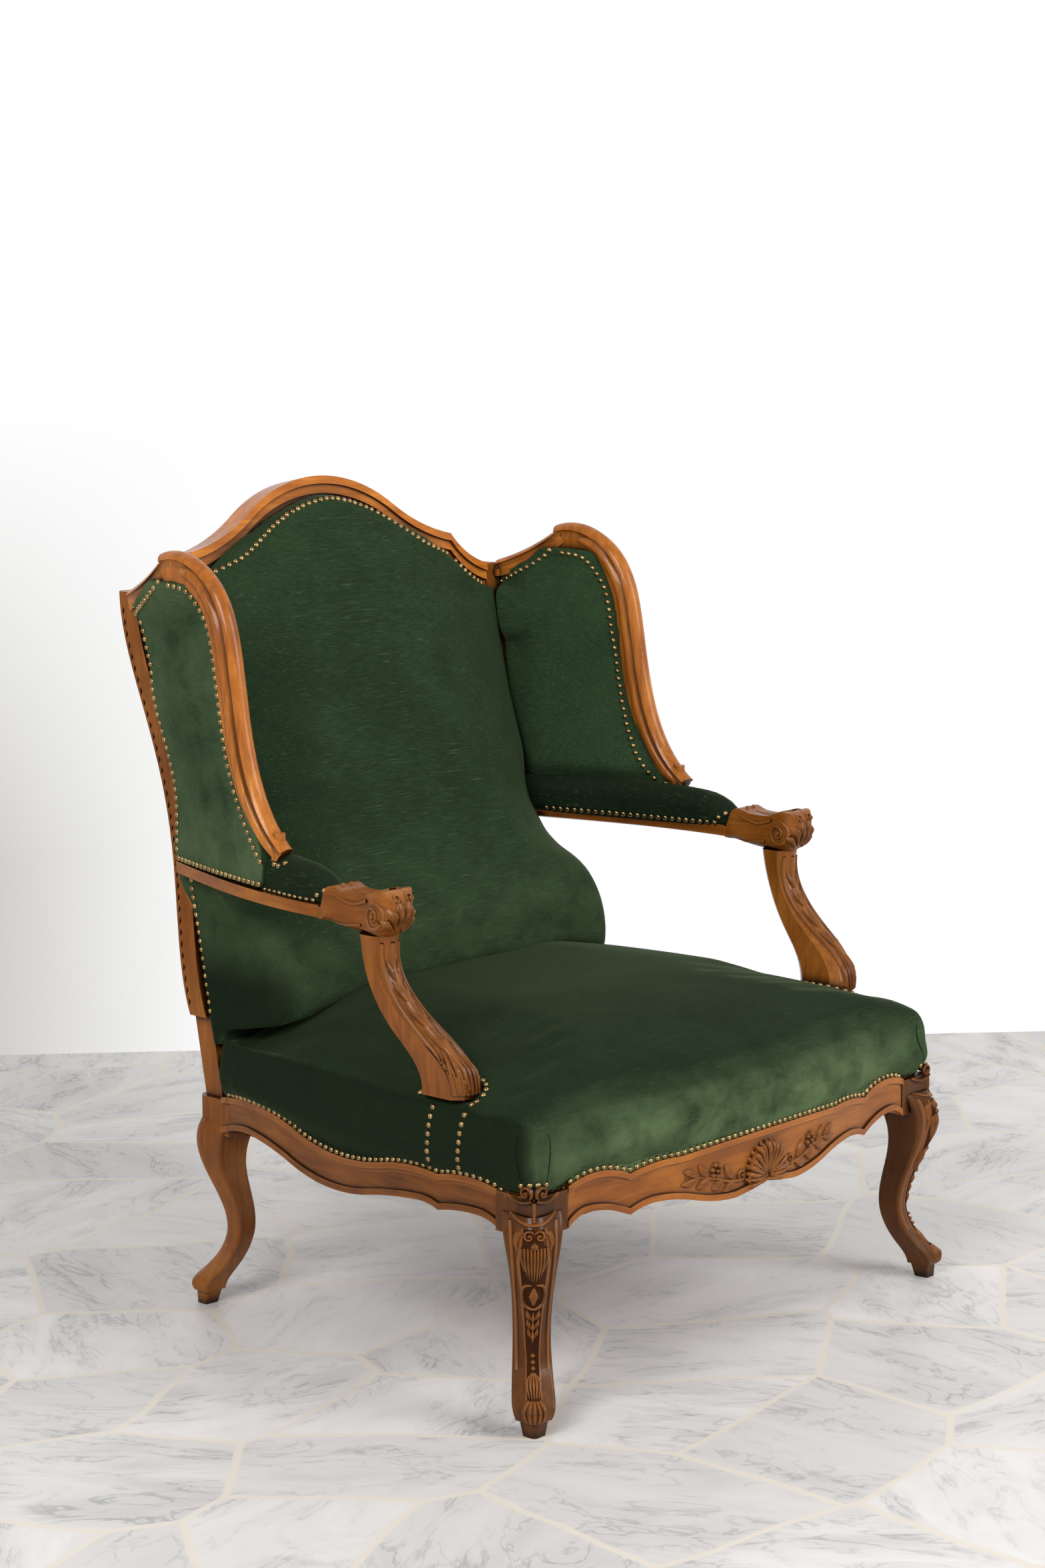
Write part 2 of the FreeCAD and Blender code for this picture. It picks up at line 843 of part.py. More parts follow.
def lay_back(piece):
    """Stand a piece that was drawn upright at the front of the leaning back."""
    front = num.back_rear_y + (num.stile_top_z - num.back_foot_z) * num.back_lean - num.stile_depth
    piece.Placement = Placement(Vector(0, front, num.stile_top_z), lean_turn)


def crest_top():
    end = dim.stile_top_x - dim.stile_width
    return [
        (end, along_lean(dim.stile_top_z), 0),
        (dim.crest_ear_x, along_lean(dim.crest_ear_z), -9),
        (dim.crest_turn_x, along_lean(dim.crest_turn_z), -7),
    ]


def crest_layer(body, name, depth, start, thickness):
    """A layer of the crest: its outline is the top edge and, below it, a parallel or hollow edge."""
    sketch = body_sketch(body, name + "_outline", "XZ_Plane", -start)
    right = crest_top()
    left = flipped(backwards(right))
    peak = along_lean(dim.crest_peak_z)
    runs = edge_runs(right)
    runs.append(((0, peak), left[0][:2]))
    runs += edge_runs(left)
    if depth is None:
        low_end = along_lean(dim.crest_low_end_z)
        end = right[0][0]
        runs += [((-end, low_end),), ((0, along_lean(dim.crest_low_peak_z)), (end, low_end))]
    else:
        low_right = [(place[0], place[1] - depth, place[2]) for place in right]
        low_left = flipped(low_right)
        low_back = backwards(low_right)
        runs.append((low_left[0][:2],))
        runs += edge_runs(low_left)
        runs.append(((0, peak - depth), low_back[0][:2]))
        runs += edge_runs(low_back)
    runs.append((right[0][:2],))
    draw(sketch, right[0][:2], *runs)
    pad = body.newObject("PartDesign::Pad", name)
    pad.Profile = sketch
    pad.Reversed = True
    bind(pad, "Length", thickness)


def add_leaning_tenons(body, name, shoulder, low, high, near):
    """A tenon at each end of a rail that lies in the leaning back."""
    reach = shoulder + dim.small_tenon * 2
    sketch = body_sketch(body, name + "_outline", "XZ_Plane", -near)
    for start, end in ((shoulder - dim.small_tenon, reach), (-reach, dim.small_tenon - shoulder)):
        outline = rectangle(start, end, low, high)
        draw(sketch, outline[0], *[(corner,) for corner in outline[1:] + outline[:1]])
    pad = body.newObject("PartDesign::Pad", name)
    pad.Profile = sketch
    pad.Reversed = True
    bind(pad, "Length", dim.small_tenon)


def leaning_mortise(name, shoulder, low, high, near):
    """Room for the right tenon of a leaning rail."""
    grow = num.joint_clearance
    room = doc.addObject("Part::Box", name)
    bind(room, "Length", dim.small_tenon * 3)
    bind(room, "Width", dim.small_tenon + 2 * dim.joint_clearance)
    bind(room, "Height", high - low + 2 * dim.joint_clearance)
    lay_back(room)
    corner = Vector(value_of(shoulder) - num.small_tenon + grow, value_of(near) - grow, value_of(low) - grow)
    room.Placement = room.Placement.multiply(Placement(corner, Rotation()))
    return room


def crest_joint():
    """Shoulder, lower and upper edge, and depth of the tenons of the crest."""
    return (dim.stile_top_x - dim.stile_width, along_lean(dim.crest_low_end_z) + dim.small_tenon,
            along_lean(dim.crest_low_end_z) + dim.small_tenon * 3, dim.small_tenon)


def lower_joint():
    low = along_lean(dim.lower_rail_z)
    return (dim.stile_hip_x - dim.stile_width - 4, low + dim.small_tenon,
            low + dim.lower_rail_height - dim.small_tenon, dim.small_tenon * 0.8)


def crest_rail():
    body = doc.addObject("PartDesign::Body", "crest_rail")
    bead_face = dim.crest_band_step + dim.crest_bead_step
    crest_layer(body, "crest_blank", None, 0, dim.crest_thickness)
    crest_layer(body, "crest_band", dim.crest_band, -dim.crest_band_step, dim.crest_thickness)
    crest_layer(body, "crest_bead", dim.crest_bead, -bead_face, dim.crest_thickness)
    add_leaning_tenons(body, "crest_tenons", *crest_joint())
    lay_back(body)
    return keep(body, "crest_rail")


def lower_back_rail():
    """The cross rail that carries the foot of the back upholstery."""
    body = doc.addObject("PartDesign::Body", "lower_back_rail")
    sketch = body_sketch(body, "lower_rail_outline", "XZ_Plane")
    half = lower_joint()[0]
    low = along_lean(dim.lower_rail_z)
    outline = rectangle(-half, half, low, low + dim.lower_rail_height)
    draw(sketch, outline[0], *[(corner,) for corner in outline[1:] + outline[:1]])
    pad = body.newObject("PartDesign::Pad", "lower_rail_blank")
    pad.Profile = sketch
    pad.Reversed = True
    bind(pad, "Length", dim.lower_rail_thickness)
    add_leaning_tenons(body, "lower_rail_tenons", *lower_joint())
    lay_back(body)
    return keep(body, "lower_back_rail")


# Wings: moulded sections carried along the edge of the wing

def wing_x(depth_y):
    return num.wing_front_x - num.wing_splay * (depth_y - num.wing_front_y)


def wing_curve(places):
    """A smooth line through places given as depth, height and how far it is drawn inwards."""
    curve = Part.BSplineCurve()
    curve.interpolate([Vector(wing_x(y) - inwards, y, z) for y, z, inwards in places])
    return curve


def wing_front_line():
    return wing_curve([
        (num.wing_corner_y, num.wing_corner_z, 0),
        (num.wing_brow_y, num.wing_brow_z, 0),
        (num.wing_shoulder_y, num.wing_shoulder_z, 0),
        (num.wing_straight_y, num.wing_straight_z, 0),
        (num.wing_sweep_y, num.wing_sweep_z, 0),
        (num.wing_front_y, num.wing_nose_z, 0),
    ])


def moulded_along(curve, band, stations, flare=0.0):
    """Carry the wing moulding along a curve: a fat round front, a groove and a flat to the cloth."""
    half = num.wing_thickness / 2
    across = Vector(1, -num.wing_splay, 0).normalize()
    wires = []
    first, last = curve.FirstParameter, curve.LastParameter
    for count in range(stations):
        step = count / (stations - 1)
        param = first + (last - first) * step
        centre = curve.value(param)
        ahead = Vector(*curve.tangent(param)[0])
        inward = Vector(1, 0, 0).cross(ahead).normalize()
        reach = band * (1 - flare * step ** 6)

        def spot(depth, side):
            return centre + inward * depth + across * side

        wires.append(wire(
            spot(reach * 0.27, half),
            (spot(0, 0), spot(reach * 0.27, -half)),
            (spot(reach * 0.40, -half * 0.72), spot(reach * 0.54, -half * 0.86)),
            (spot(reach, -half * 0.8),),
            (spot(reach, half * 0.8),),
            (spot(reach * 0.54, half * 0.86),),
            (spot(reach * 0.40, half * 0.72), spot(reach * 0.27, half)),
        ))
    return lofted(wires)


def wing_peg():
    """The round tenon that stands the foot of the wing on the arm, hidden in the pads."""
    y = num.wing_front_y + num.wing_peg_set
    low = num.arm_low + num.arm_rail_height - num.peg_depth
    return Part.makeCylinder(num.peg_radius, num.wing_nose_z + num.wing_peg_set - low, Vector(wing_x(y), y, low))


def wing_upright():
    return moulded_along(wing_front_line(), num.wing_band, 15, 0.45).fuse(wing_peg())


def wing_rail_tenon(grow):
    """The tenon of the wing's top rail in the upright of the back, grown by a clearance."""
    side = num.small_tenon
    start = back_front_y(num.stile_top_z) - side
    return Part.makeBox(side + 2 * grow, num.tenon_length + grow, side + 2 * grow,
                        Vector(num.stile_top_x - 1.3 * side - grow, start,
                               num.stile_top_z - 1.9 * side - grow))


def wing_top_rail(upright):
    back_y = back_front_y(num.stile_top_z) + num.stile_depth * 0.4
    curve = wing_curve([
        (back_y, num.stile_top_z, num.wing_draw_in),
        (num.wing_dip_y, num.wing_dip_z, num.wing_draw_in * 0.35),
        (num.wing_corner_y - 6, num.wing_corner_z - 3, 0),
    ])
    cut_off = moulded_along(curve, num.wing_top_band, 6).cut([upright, behind_back()])
    rail = max(cut_off.Solids, key=lambda solid: solid.Volume)
    return rail.fuse(wing_rail_tenon(0))


# Arms: rail and carved hand in one piece, on a swept support

def arm_section(y, x, width, low, top):
    half = width / 2
    lift = min(width, top - low) * 0.22
    return wire(
        Vector(x - half, y, low + lift),
        (Vector(x, y, low), Vector(x + half, y, low + lift)),
        (Vector(x + half, y, top),),
        (Vector(x - half, y, top),),
        (Vector(x - half, y, low + lift),),
    )


def arm_rear_y():
    return back_front_y(num.arm_low_rear)


def arm_line(share):
    """Centre and width of the arm from the upright (0) to the front of the pad (1)."""
    y = arm_rear_y() + (num.arm_front_y - arm_rear_y()) * share
    bend = math.sin(share * math.pi / 2)
    x = num.arm_rear_x + (num.arm_front_x - num.arm_rear_x) * bend
    width = num.arm_rear_width + (num.arm_width - num.arm_rear_width) * bend
    low = num.arm_low_rear + (num.arm_low - num.arm_low_rear) * share
    return y, x, width, low


def arm_rail():
    """The rail under the pad, then the heel that rises at its end, the neck and the scrolled hand."""
    rail = []
    for share in (-0.05, 0.2, 0.4, 0.6, 0.8, 1.0):
        y, x, width, low = arm_line(share)
        rail.append(arm_section(y, x, width, low, low + num.arm_rail_height))
    front = num.arm_front_y
    low = num.arm_low
    x = num.arm_front_x
    top = num.hand_top
    hand = num.hand_y
    length = num.hand_length / 2
    seat = num.support_top - 4
    neck = num.hand_neck_width
    wide = num.hand_width
    rows = [
        (front, x, num.arm_width, low, low + num.arm_rail_height),
        (front - 10, x, num.arm_width, low - 2, low + num.arm_rail_height + 16),
        (front - 22, x, num.arm_width - 3, low - 4, top - 3),
        (front - 36, x, neck + 1, low - 7, top - 7),
        (front - 54, x, neck, low - 9, top - 9),
        (hand + length * 0.8, x, neck + 2, seat, top - 7),
        (hand + length * 0.3, x + 1, wide - 3, seat, top - 3),
        (hand - length * 0.2, x + 1, wide - 1, seat + 4, top),
        (hand - length * 0.6, x + 1, wide - 9, seat + 14, top - 2),
        (hand - length * 0.95, x + 1, wide - 24, seat + 27, top - 10),
    ]
    return lofted(rail).fuse(lofted([arm_section(*row) for row in rows]))


def arm_tenon(grow):
    """The tenon of the arm in the upright of the back, grown by a clearance."""
    width = num.tenon_thickness
    height = num.arm_rail_height * 0.6
    low = num.arm_low_rear + num.arm_rail_height * 0.25
    return Part.makeBox(width + 2 * grow, num.tenon_length + grow, height + 2 * grow,
                        Vector(num.stile_waist_x - width * 1.5 - grow,
                               arm_rear_y() - num.tenon_length * 0.35, low - grow))


def support_section(z, x, y, width, depth):
    half = width / 2
    deep = depth / 2
    cut = min(width, depth) * 0.22
    return wire(
        Vector(x - half + cut, y - deep, z),
        (Vector(x, y - deep - cut * 0.35, z), Vector(x + half - cut, y - deep, z)),
        (Vector(x + half, y - deep + cut, z),),
        (Vector(x + half, y + deep - cut, z),),
        (Vector(x + half - cut, y + deep, z),),
        (Vector(x - half + cut, y + deep, z),),
        (Vector(x - half, y + deep - cut, z),),
        (Vector(x - half, y - deep + cut, z),),
        (Vector(x - half + cut, y - deep, z),),
    )


def arm_support():
    """The swept support, and the plain foot that goes down through the seat to the side rail."""
    top = num.support_top
    rise = top - num.support_base_z
    x = num.arm_front_x
    base_x = num.support_base_x
    top_y = num.hand_y + num.hand_length * 0.44
    run = top_y - num.support_base_y
    width = num.support_neck_width
    depth = num.support_neck_depth
    rows = [
        (top, x, top_y, width + 2, depth + 3),
        (top - rise * 0.13, x, top_y - run * 0.01, width - 2, depth - 3),
        (top - rise * 0.28, x, top_y - run * 0.09, width - 2, depth - 4),
        (top - rise * 0.43, x - 2, top_y - run * 0.26, width + 1, depth + 4),
        (top - rise * 0.58, x - 6, top_y - run * 0.52, width + 4, depth + 16),
        (top - rise * 0.72, x - 12, top_y - run * 0.80, num.support_base_width - 2, depth + 26),
        (top - rise * 0.87, base_x + 2, top_y - run * 0.98, num.support_base_width,
         num.support_base_depth),
        (num.support_base_z, base_x, num.support_base_y, num.support_base_width, num.support_base_depth),
    ]
    sweep = lofted([support_section(*row) for row in rows])
    foot_width = num.support_base_depth * 0.8
    foot_low = num.side_top_cusp + 3
    foot = Part.makeBox(num.support_foot_thickness, foot_width, num.support_base_z - foot_low,
                        Vector(base_x - num.support_foot_thickness * 0.8,
                               num.support_base_y - foot_width / 2, foot_low))
    peg = Part.makeCylinder(num.peg_radius, 3 * num.peg_depth, Vector(x, top_y, top - num.peg_depth))
    return sweep.fuse([foot, peg])


# Upholstery

def seat_outline(level, inset):
    """The plan of the seat at a level: serpentine front, round front corners, bowed sides."""
    half = num.front_half_width - inset
    front = num.front_corner_y + inset + num.seat_front_set
    back = num.seat_back_y - inset * 0.35
    rear_half = num.rear_half_width - inset
    corner = min(num.seat_corner + inset * 0.35, half * 0.5)
    bow = num.front_bow * max(0.2, 1 - inset / 260)
    flat = half - corner
    slant = corner * 0.2929

    def at(x, y):
        return Vector(x, y, level)

    middle_y = (front + corner + back) / 2
    middle_x = (half + rear_half) / 2 + num.side_bow
    return wire(
        at(flat, front),
        (at(half - slant, front + slant), at(half, front + corner)),
        (at(middle_x, middle_y), at(rear_half, back)),
        (at(-rear_half, back),),
        (at(-middle_x, middle_y), at(-half, front + corner)),
        (at(-half + slant, front + slant), at(-flat, front)),
        (at(-flat * 0.75, front - bow / 8), at(-flat / 2, front - bow / 2)),
        (at(0, front - bow), at(flat / 2, front - bow / 2)),
        (at(flat * 0.75, front - bow / 8), at(flat, front)),
    )


def seat_form(skin):
    """The domed seat, drawn in by the thickness of a skin."""
    side = num.seat_side_inset + skin
    rim = num.seat_rim - skin
    rise = num.seat_crown - num.seat_rim
    rows = [
        (num.seat_bottom, side + 18),
        ((num.seat_bottom + rim) / 2, side),
        (rim - 14, side - 0.5),
        (rim + 4, side + 8),
        (rim + rise * 0.34, side + 37),
        (rim + rise * 0.61, side + 84),
        (rim + rise * 0.84, side + 147),
        (rim + rise * 0.97, side + 215),
        (rim + rise, side + 255),
    ]
    return lofted([seat_outline(level, inset) for level, inset in rows])


def seat_well():
    """The room for the springs under the stuffing."""
    low = num.seat_bottom - 60
    inset = num.rail_thickness + 6
    wide = num.front_half_width - inset
    narrow = num.rear_half_width - inset
    front = num.front_corner_y + inset
    back = num.seat_back_y - 4
    corners = [Vector(wide, front, low), Vector(narrow, back, low), Vector(-narrow, back, low),
               Vector(-wide, front, low), Vector(wide, front, low)]
    well = Part.Face(Part.makePolygon(corners))
    return well.extrude(Vector(0, 0, num.spring_top + num.hessian_thickness - low))


def spring_hessian():
    slab = Part.makeBox(2000, 2000, num.hessian_thickness, Vector(-1000, -1000, num.spring_top))
    return seat_well().common(slab)


def stile_prism():
    """The plain foot of the right upright, where it passes the seat."""
    outer = num.stile_plain_x
    low = num.seat_bottom - 20
    front = back_front_y(low)
    corners = [Vector(outer - num.stile_width, front, low), Vector(outer, front, low),
               Vector(outer, front + num.stile_depth, low), Vector(outer - num.stile_width, front + num.stile_depth, low)]
    rise = num.seat_crown - low
    return Part.Face(Part.makePolygon(corners + corners[:1])).extrude(Vector(0, rise * num.back_lean, rise))


def back_front_y(height):
    """Front face of the leaning uprights at a height."""
    return num.back_rear_y + (height - num.back_foot_z) * num.back_lean - num.stile_depth


def back_section(x, high_share, low_share, top):
    """The back upholstery cut lengthwise at x: flat behind, rounded off above, full below the arms."""

    def at(height, depth):
        below = (num.back_pad_waist_z - height) / (num.back_pad_waist_z - num.back_pad_lumbar_z)
        share = high_share + (low_share - high_share) * min(1.0, max(0.0, below))
        return Vector(x, back_front_y(height) - depth * share, height)

    foot = num.back_pad_foot_z
    upper = foot * 0.42 + top * 0.58
    waist = num.back_pad_waist_z
    hollow = num.back_pad_hollow_z
    swell = (num.back_pad_waist_depth + num.back_pad_hollow_depth) / 2 - 3
    return wire(
        at(foot, 0),
        (at(top, 0),),
        (at(top, num.back_pad_top_depth),),
        (at(upper, num.back_pad_upper_depth), at(waist, num.back_pad_waist_depth)),
        (at((waist + hollow) / 2, swell), at(hollow, num.back_pad_hollow_depth)),
        (at(num.back_pad_lumbar_z, num.back_pad_lumbar_depth), at(foot + 12, num.back_pad_foot_depth)),
        (at(foot, 0),),
    )


def back_form():
    """The back upholstery as a whole, from side to side."""
    half = num.back_pad_half_width
    band = num.crest_band
    rows = [
        (half, 0.24, 0.62, num.stile_top_z - band - 8),
        (half - 28, 0.56, 0.88, num.stile_top_z - band - 3),
        (num.crest_ear_x, 0.88, 0.96, num.crest_ear_z - band - 16),
        (num.crest_turn_x, 1.0, 1.0, num.crest_turn_z - band),
        (0, 1.02, 1.02, num.crest_peak_z - band),
    ]
    full = rows + [(-x, high, low, top) for x, high, low, top in rows[-2::-1]]
    return lofted([back_section(*row) for row in full])


def back_core():
    """The stuffing under the cover and its wadding, run through behind and below."""
    half = num.back_core_half_width
    share = num.back_core_share
    foot = num.back_pad_foot_z
    rows = [
        (foot - num.back_core_through, -num.back_core_through),
        (num.back_core_top_z, -num.back_core_through),
        (num.back_core_top_z, num.back_pad_upper_depth * share * 0.4),
        (num.back_pad_waist_z, num.back_pad_waist_depth * share),
        (num.back_pad_hollow_z, num.back_pad_hollow_depth * share),
        (num.back_pad_lumbar_z, num.back_pad_lumbar_depth * share),
        (foot - num.back_core_through, num.back_pad_foot_depth * share),
    ]
    corners = [Vector(-half, back_front_y(height) - depth, height) for height, depth in rows]
    return Part.Face(Part.makePolygon(corners + corners[:1])).extrude(Vector(2 * half, 0, 0))


def behind_back():
    """All the room behind the front face of the leaning uprights."""
    slab = Part.makeBox(2000, 600, 2000, Vector(-1000, 0, -1000))
    slab.Placement = Placement(Vector(0, back_front_y(num.stile_top_z), num.stile_top_z), lean_turn)
    return slab


def arm_outer_x(y):
    """Outer edge of the arm's wood at a depth."""
    share = (y - arm_rear_y()) / (num.arm_front_y - arm_rear_y())
    y, x, width, low = arm_line(min(1.0, max(0.0, share)))
    return x + width / 2


def above_wing():
    """All the room above the lower edge of the wing's top rail, from its corner to the upright."""
    near = num.stile_waist_x - 30
    rear = back_front_y(num.stile_top_z)
    below = num.wing_top_band * 0.75
    over = num.crest_peak_z
    line = [(rear + 60, num.stile_top_z - below), (rear, num.stile_top_z - below),
            (num.wing_dip_y, num.wing_dip_z - below), (num.wing_corner_y, num.wing_corner_z - below),
            (num.wing_corner_y, over), (rear + 60, over)]
    corners = [Vector(near, y, z) for y, z in line]
    return Part.Face(Part.makePolygon(corners + corners[:1])).extrude(Vector(160, 0, 0))


def wing_pad():
    """The wing's cloth over its stuffing, from the upright's band to the stile and down to the arm."""
    front_line = wing_front_line()
    rows = []
    foot = num.arm_low_rear + num.arm_rail_height + num.soft_gap
    levels = [(foot, 1.0), (num.wing_nose_z + 12, 0.45), (num.wing_sweep_z, 0.12), (num.wing_straight_z - 30, 0.0),
              (num.stile_top_z - 28, 0.0), (num.stile_top_z + 2, 0.0), (num.wing_corner_z - 32, 0.0)]
    for level, flare in levels:
        back = num.back_rear_y + (level - num.back_foot_z) * num.back_lean - num.stile_depth
        rear_x = num.stile_waist_x + (num.stile_shoulder_x - num.stile_waist_x) * max(
            0.0, (level - num.stile_waist_z) / (num.stile_shoulder_z - num.stile_waist_z))
        if level > num.stile_top_z:
            share = (level - num.stile_top_z) / (num.wing_dip_z - num.stile_top_z)
            back = back - (back - num.wing_dip_y + 8) * share
            rear_x = wing_x(back)
        nearest = min((front_line.value(front_line.FirstParameter + (front_line.LastParameter
                       - front_line.FirstParameter) * step / 60) for step in range(8, 61)),
                      key=lambda spot: abs(spot.z - level))
        front = nearest.y + num.wing_band * 0.92
        edge = num.wing_pad_edge / 2
        inner_x = rear_x - edge
        rows.append((level, front, back, wing_x(front), inner_x, edge, flare))
    wires = []
    for level, front, back, front_x, rear_x, edge, flare in rows:
        middle_y = (front + back) / 2
        middle_x = (front_x + rear_x) / 2
        crown = num.wing_pad_crown * min(1.0, (back - front) / 120)

        def outer(x, y):
            return Vector(x + max(0.0, arm_outer_x(y) - 1 - x) * flare, y, level)

        wires.append(wire(
            outer(rear_x + edge, back),
            (outer(middle_x + edge + crown * 0.5, middle_y), outer(front_x + edge, front)),
            (Vector(front_x - edge, front, level),),
            (Vector(middle_x - edge - crown, middle_y, level), Vector(rear_x - edge, back, level)),
            (outer(rear_x + edge, back),),
        ))
    return lofted(wires)


def arm_pad():
    """The domed pad along the arm rail, rounded off before the heel."""
    rows = [(-0.05, 0, 4, 12), (0.2, 0, 5, 12), (0.4, 0, 3, 12), (0.6, 0, 0, 9), (0.8, 0, -1, 2),
            (0.93, 3, -10, 0), (0.985, 9, -24, 0)]
    wires = []
    for share, lift, grow, draw_in in rows:
        y, x, width, low = arm_line(share)
        base = low + num.arm_rail_height + num.soft_gap + lift
        height = num.arm_pad_height + grow
        half = width / 2 - lift * 0.4
        wires.append(wire(
            Vector(x - half, y, base),
            (Vector(x + half - draw_in, y, base),),
            (Vector(x + half + 2 - draw_in, y, base + height * 0.3),
             Vector(x + half * 0.7 - draw_in * 0.6, y, base + height * 0.86)),
            (Vector(x, y, base + height), Vector(x - half * 0.7, y, base + height * 0.86)),
            (Vector(x - half - 2, y, base + height * 0.3), Vector(x - half, y, base)),
        ))
    return lofted(wires)


def coil_spring():
    """One seat spring: a wire swept along quarter turns."""
    radius = num.spring_radius
    low = num.web_level + 2 * num.web_thickness + num.spring_wire / 2 + 0.3
    high = num.spring_top - num.spring_wire / 2
    quarters = int(num.spring_turns * 4)
    rise = (high - low) / quarters

    def spot(step):
        angle = math.pi / 2 * step
        return Vector(radius * math.cos(angle), radius * math.sin(angle), low + rise * step)

    path = Part.Wire([Part.Arc(spot(step), spot(step + 0.5), spot(step + 1)).toShape()
                      for step in range(quarters)])
    start = spot(0)
    ring = Part.Wire(Part.makeCircle(num.spring_wire / 2, start, Vector(0, 1, rise / radius)))
    return path.makePipeShell([ring], True, False)


def seat_springs():
    spring = coil_spring()
    copies = []
    for column in (-1, 0, 1):
        for rank in (-1, 0, 1):
            one = spring.copy()
            one.translate(Vector(column * num.spring_step, num.seat_middle_y + rank * num.spring_step, 0))
            copies.append(one)
    return Part.makeCompound(copies)


def rail_inner_x(y):
    """Half the clear width between the side rails at a depth."""
    share = (y - num.front_corner_y) / side_run[1]
    return num.front_half_width + side_run[0] * share - num.rail_thickness * 1.02


def seat_webbing():
    """Straps from side to side, and over them straps from front to back."""
    straps = []
    half = num.web_width / 2
    front = num.front_corner_y + num.rail_thickness
    back = num.rear_block_back_y - num.rear_block / 2 - num.rail_thickness / 2
    for rank in range(-2, 3):
        y = num.seat_middle_y + rank * num.web_step
        reach = rail_inner_x(y + half)
        straps.append(Part.makeBox(2 * reach, num.web_width, num.web_thickness,
                                   Vector(-reach, y - half, num.web_level)))
        x = rank * num.web_step
        straps.append(Part.makeBox(num.web_width, back - front, num.web_thickness,
                                   Vector(x - half, front, num.web_level + num.web_thickness)))
    return Part.makeCompound(straps)


def frame_sheet(level, thickness):
    """A cloth that fills the plan inside the seat rails, clear of the leg blocks."""
    front = num.front_corner_y + num.rail_thickness
    back = num.rear_block_back_y - num.rear_block / 2 - num.rail_thickness / 2
    corner = num.front_half_width - num.leg_block
    shoulder = num.front_corner_y + num.leg_block
    rear_corner = num.rear_half_width - num.rear_block
    rear_shoulder = num.rear_block_back_y - num.rear_block
    half = [(corner, front), (corner, shoulder), (rail_inner_x(shoulder), shoulder),
            (rail_inner_x(rear_shoulder), rear_shoulder), (rear_corner, rear_shoulder), (rear_corner, back)]
    corners = [Vector(x, y, level) for x, y in half] + [Vector(-x, y, level) for x, y in half[::-1]]
    return Part.Face(Part.makePolygon(corners + corners[:1])).extrude(Vector(0, 0, thickness))


def back_sheet(name, level_low, top_gap, depth, thickness):
    """A cloth stretched over the back frame, drawn in the leaning plane."""
    body = doc.addObject("PartDesign::Body", name)
    sketch = body_sketch(body, name + "_outline", "XZ_Plane", -depth)
    half = dim.stile_waist_x - dim.stile_width
    low = along_lean(level_low)
    end = along_lean(dim.crest_low_end_z) - top_gap
    peak = along_lean(dim.crest_low_peak_z) - top_gap
    draw(sketch, (-half, low), ((half, low),), ((half, end),), ((0, peak), (-half, end)), ((-half, low),))
    pad = body.newObject("PartDesign::Pad", name + "_cloth")
    pad.Profile = sketch
    pad.Reversed = True
    bind(pad, "Length", thickness)
    lay_back(body)
    return keep(body, name)


def checked_and_written():
    doc.recompute()
    broken = [item.Name for item in doc.Objects if "Invalid" in item.State or "Error" in item.State]
    if broken:
        raise RuntimeError("these objects failed: " + ", ".join(broken))
    for piece in pieces:
        if piece.Shape.isNull() or not piece.Shape.isValid():
            raise RuntimeError("this piece has no sound shape: " + piece.Label)
    os.makedirs("parts", exist_ok=True)
    for piece in pieces:
        piece.Shape.exportStep("parts/%s.step" % piece.Label)


front_rail = front_seat_rail()
side_rail = side_seat_rail()
rear_rail, rear_mortise = rear_seat_rail()
front_mortise, rear_side_mortise = side_tenons(num.joint_clearance)
front_legs = front_leg([front_tenon_mortise(), front_mortise])
rooms = [rear_mortise, rear_side_mortise, leaning_mortise("crest_mortise", *crest_joint()),
         leaning_mortise("lower_rail_mortise", *lower_joint())]
for name, shape in (("arm_mortise", arm_tenon(num.joint_clearance)),
                    ("wing_rail_mortise", wing_rail_tenon(num.joint_clearance))):
    room = doc.addObject("Part::Feature", name)
    room.Shape = shape
    rooms.append(room)
rear_posts = rear_post(rooms)
crest = crest_rail()
lower_rail = lower_back_rail()
outside_back = back_sheet("outside_back_cover", dim.lower_rail_z + dim.lower_rail_height, 0,
                          dim.crest_thickness - 4, 3)
back_webbing = back_sheet("back_webbing", dim.lower_rail_z + dim.lower_rail_height, 0, 2, 2)
doc.recompute()

upright = keep_shape("wing_upright_right", wing_upright())
mirrored(upright, "wing_upright_left")
top_rail = keep_shape("wing_top_rail_right", wing_top_rail(upright.Shape))
mirrored(top_rail, "wing_top_rail_left")
support = keep_shape("arm_support_right", arm_support())
mirrored(support, "arm_support_left")
arm_wood = arm_rail().cut([support.Shape, wing_peg(), behind_back()]).fuse(arm_tenon(0))
arm = keep_shape("arm_rail_right", arm_wood)
mirrored(arm, "arm_rail_left")

corner = front_block("front_corner", dim.block_top)
doc.recompute()
half_wood = [doc.getObject("side_rail_trimmed").Shape, support.Shape, corner.Shape, stile_prism()]
wood = [doc.getObject("front_rail_blank").Shape, rear_rail.Shape] + half_wood
wood += [other_side(shape) for shape in half_wood]
seat_room = seat_form(0)
inner_seat = seat_form(num.cover_thickness)
keep_shape("seat_cover", seat_room.cut([inner_seat] + wood))
keep_shape("seat_stuffing", inner_seat.cut([seat_well()] + wood))
keep_shape("seat_springs", seat_springs())
keep_shape("spring_hessian", spring_hessian())
keep_shape("seat_webbing", seat_webbing())
keep_shape("dust_cover", frame_sheet(num.dust_level, num.dust_thickness))

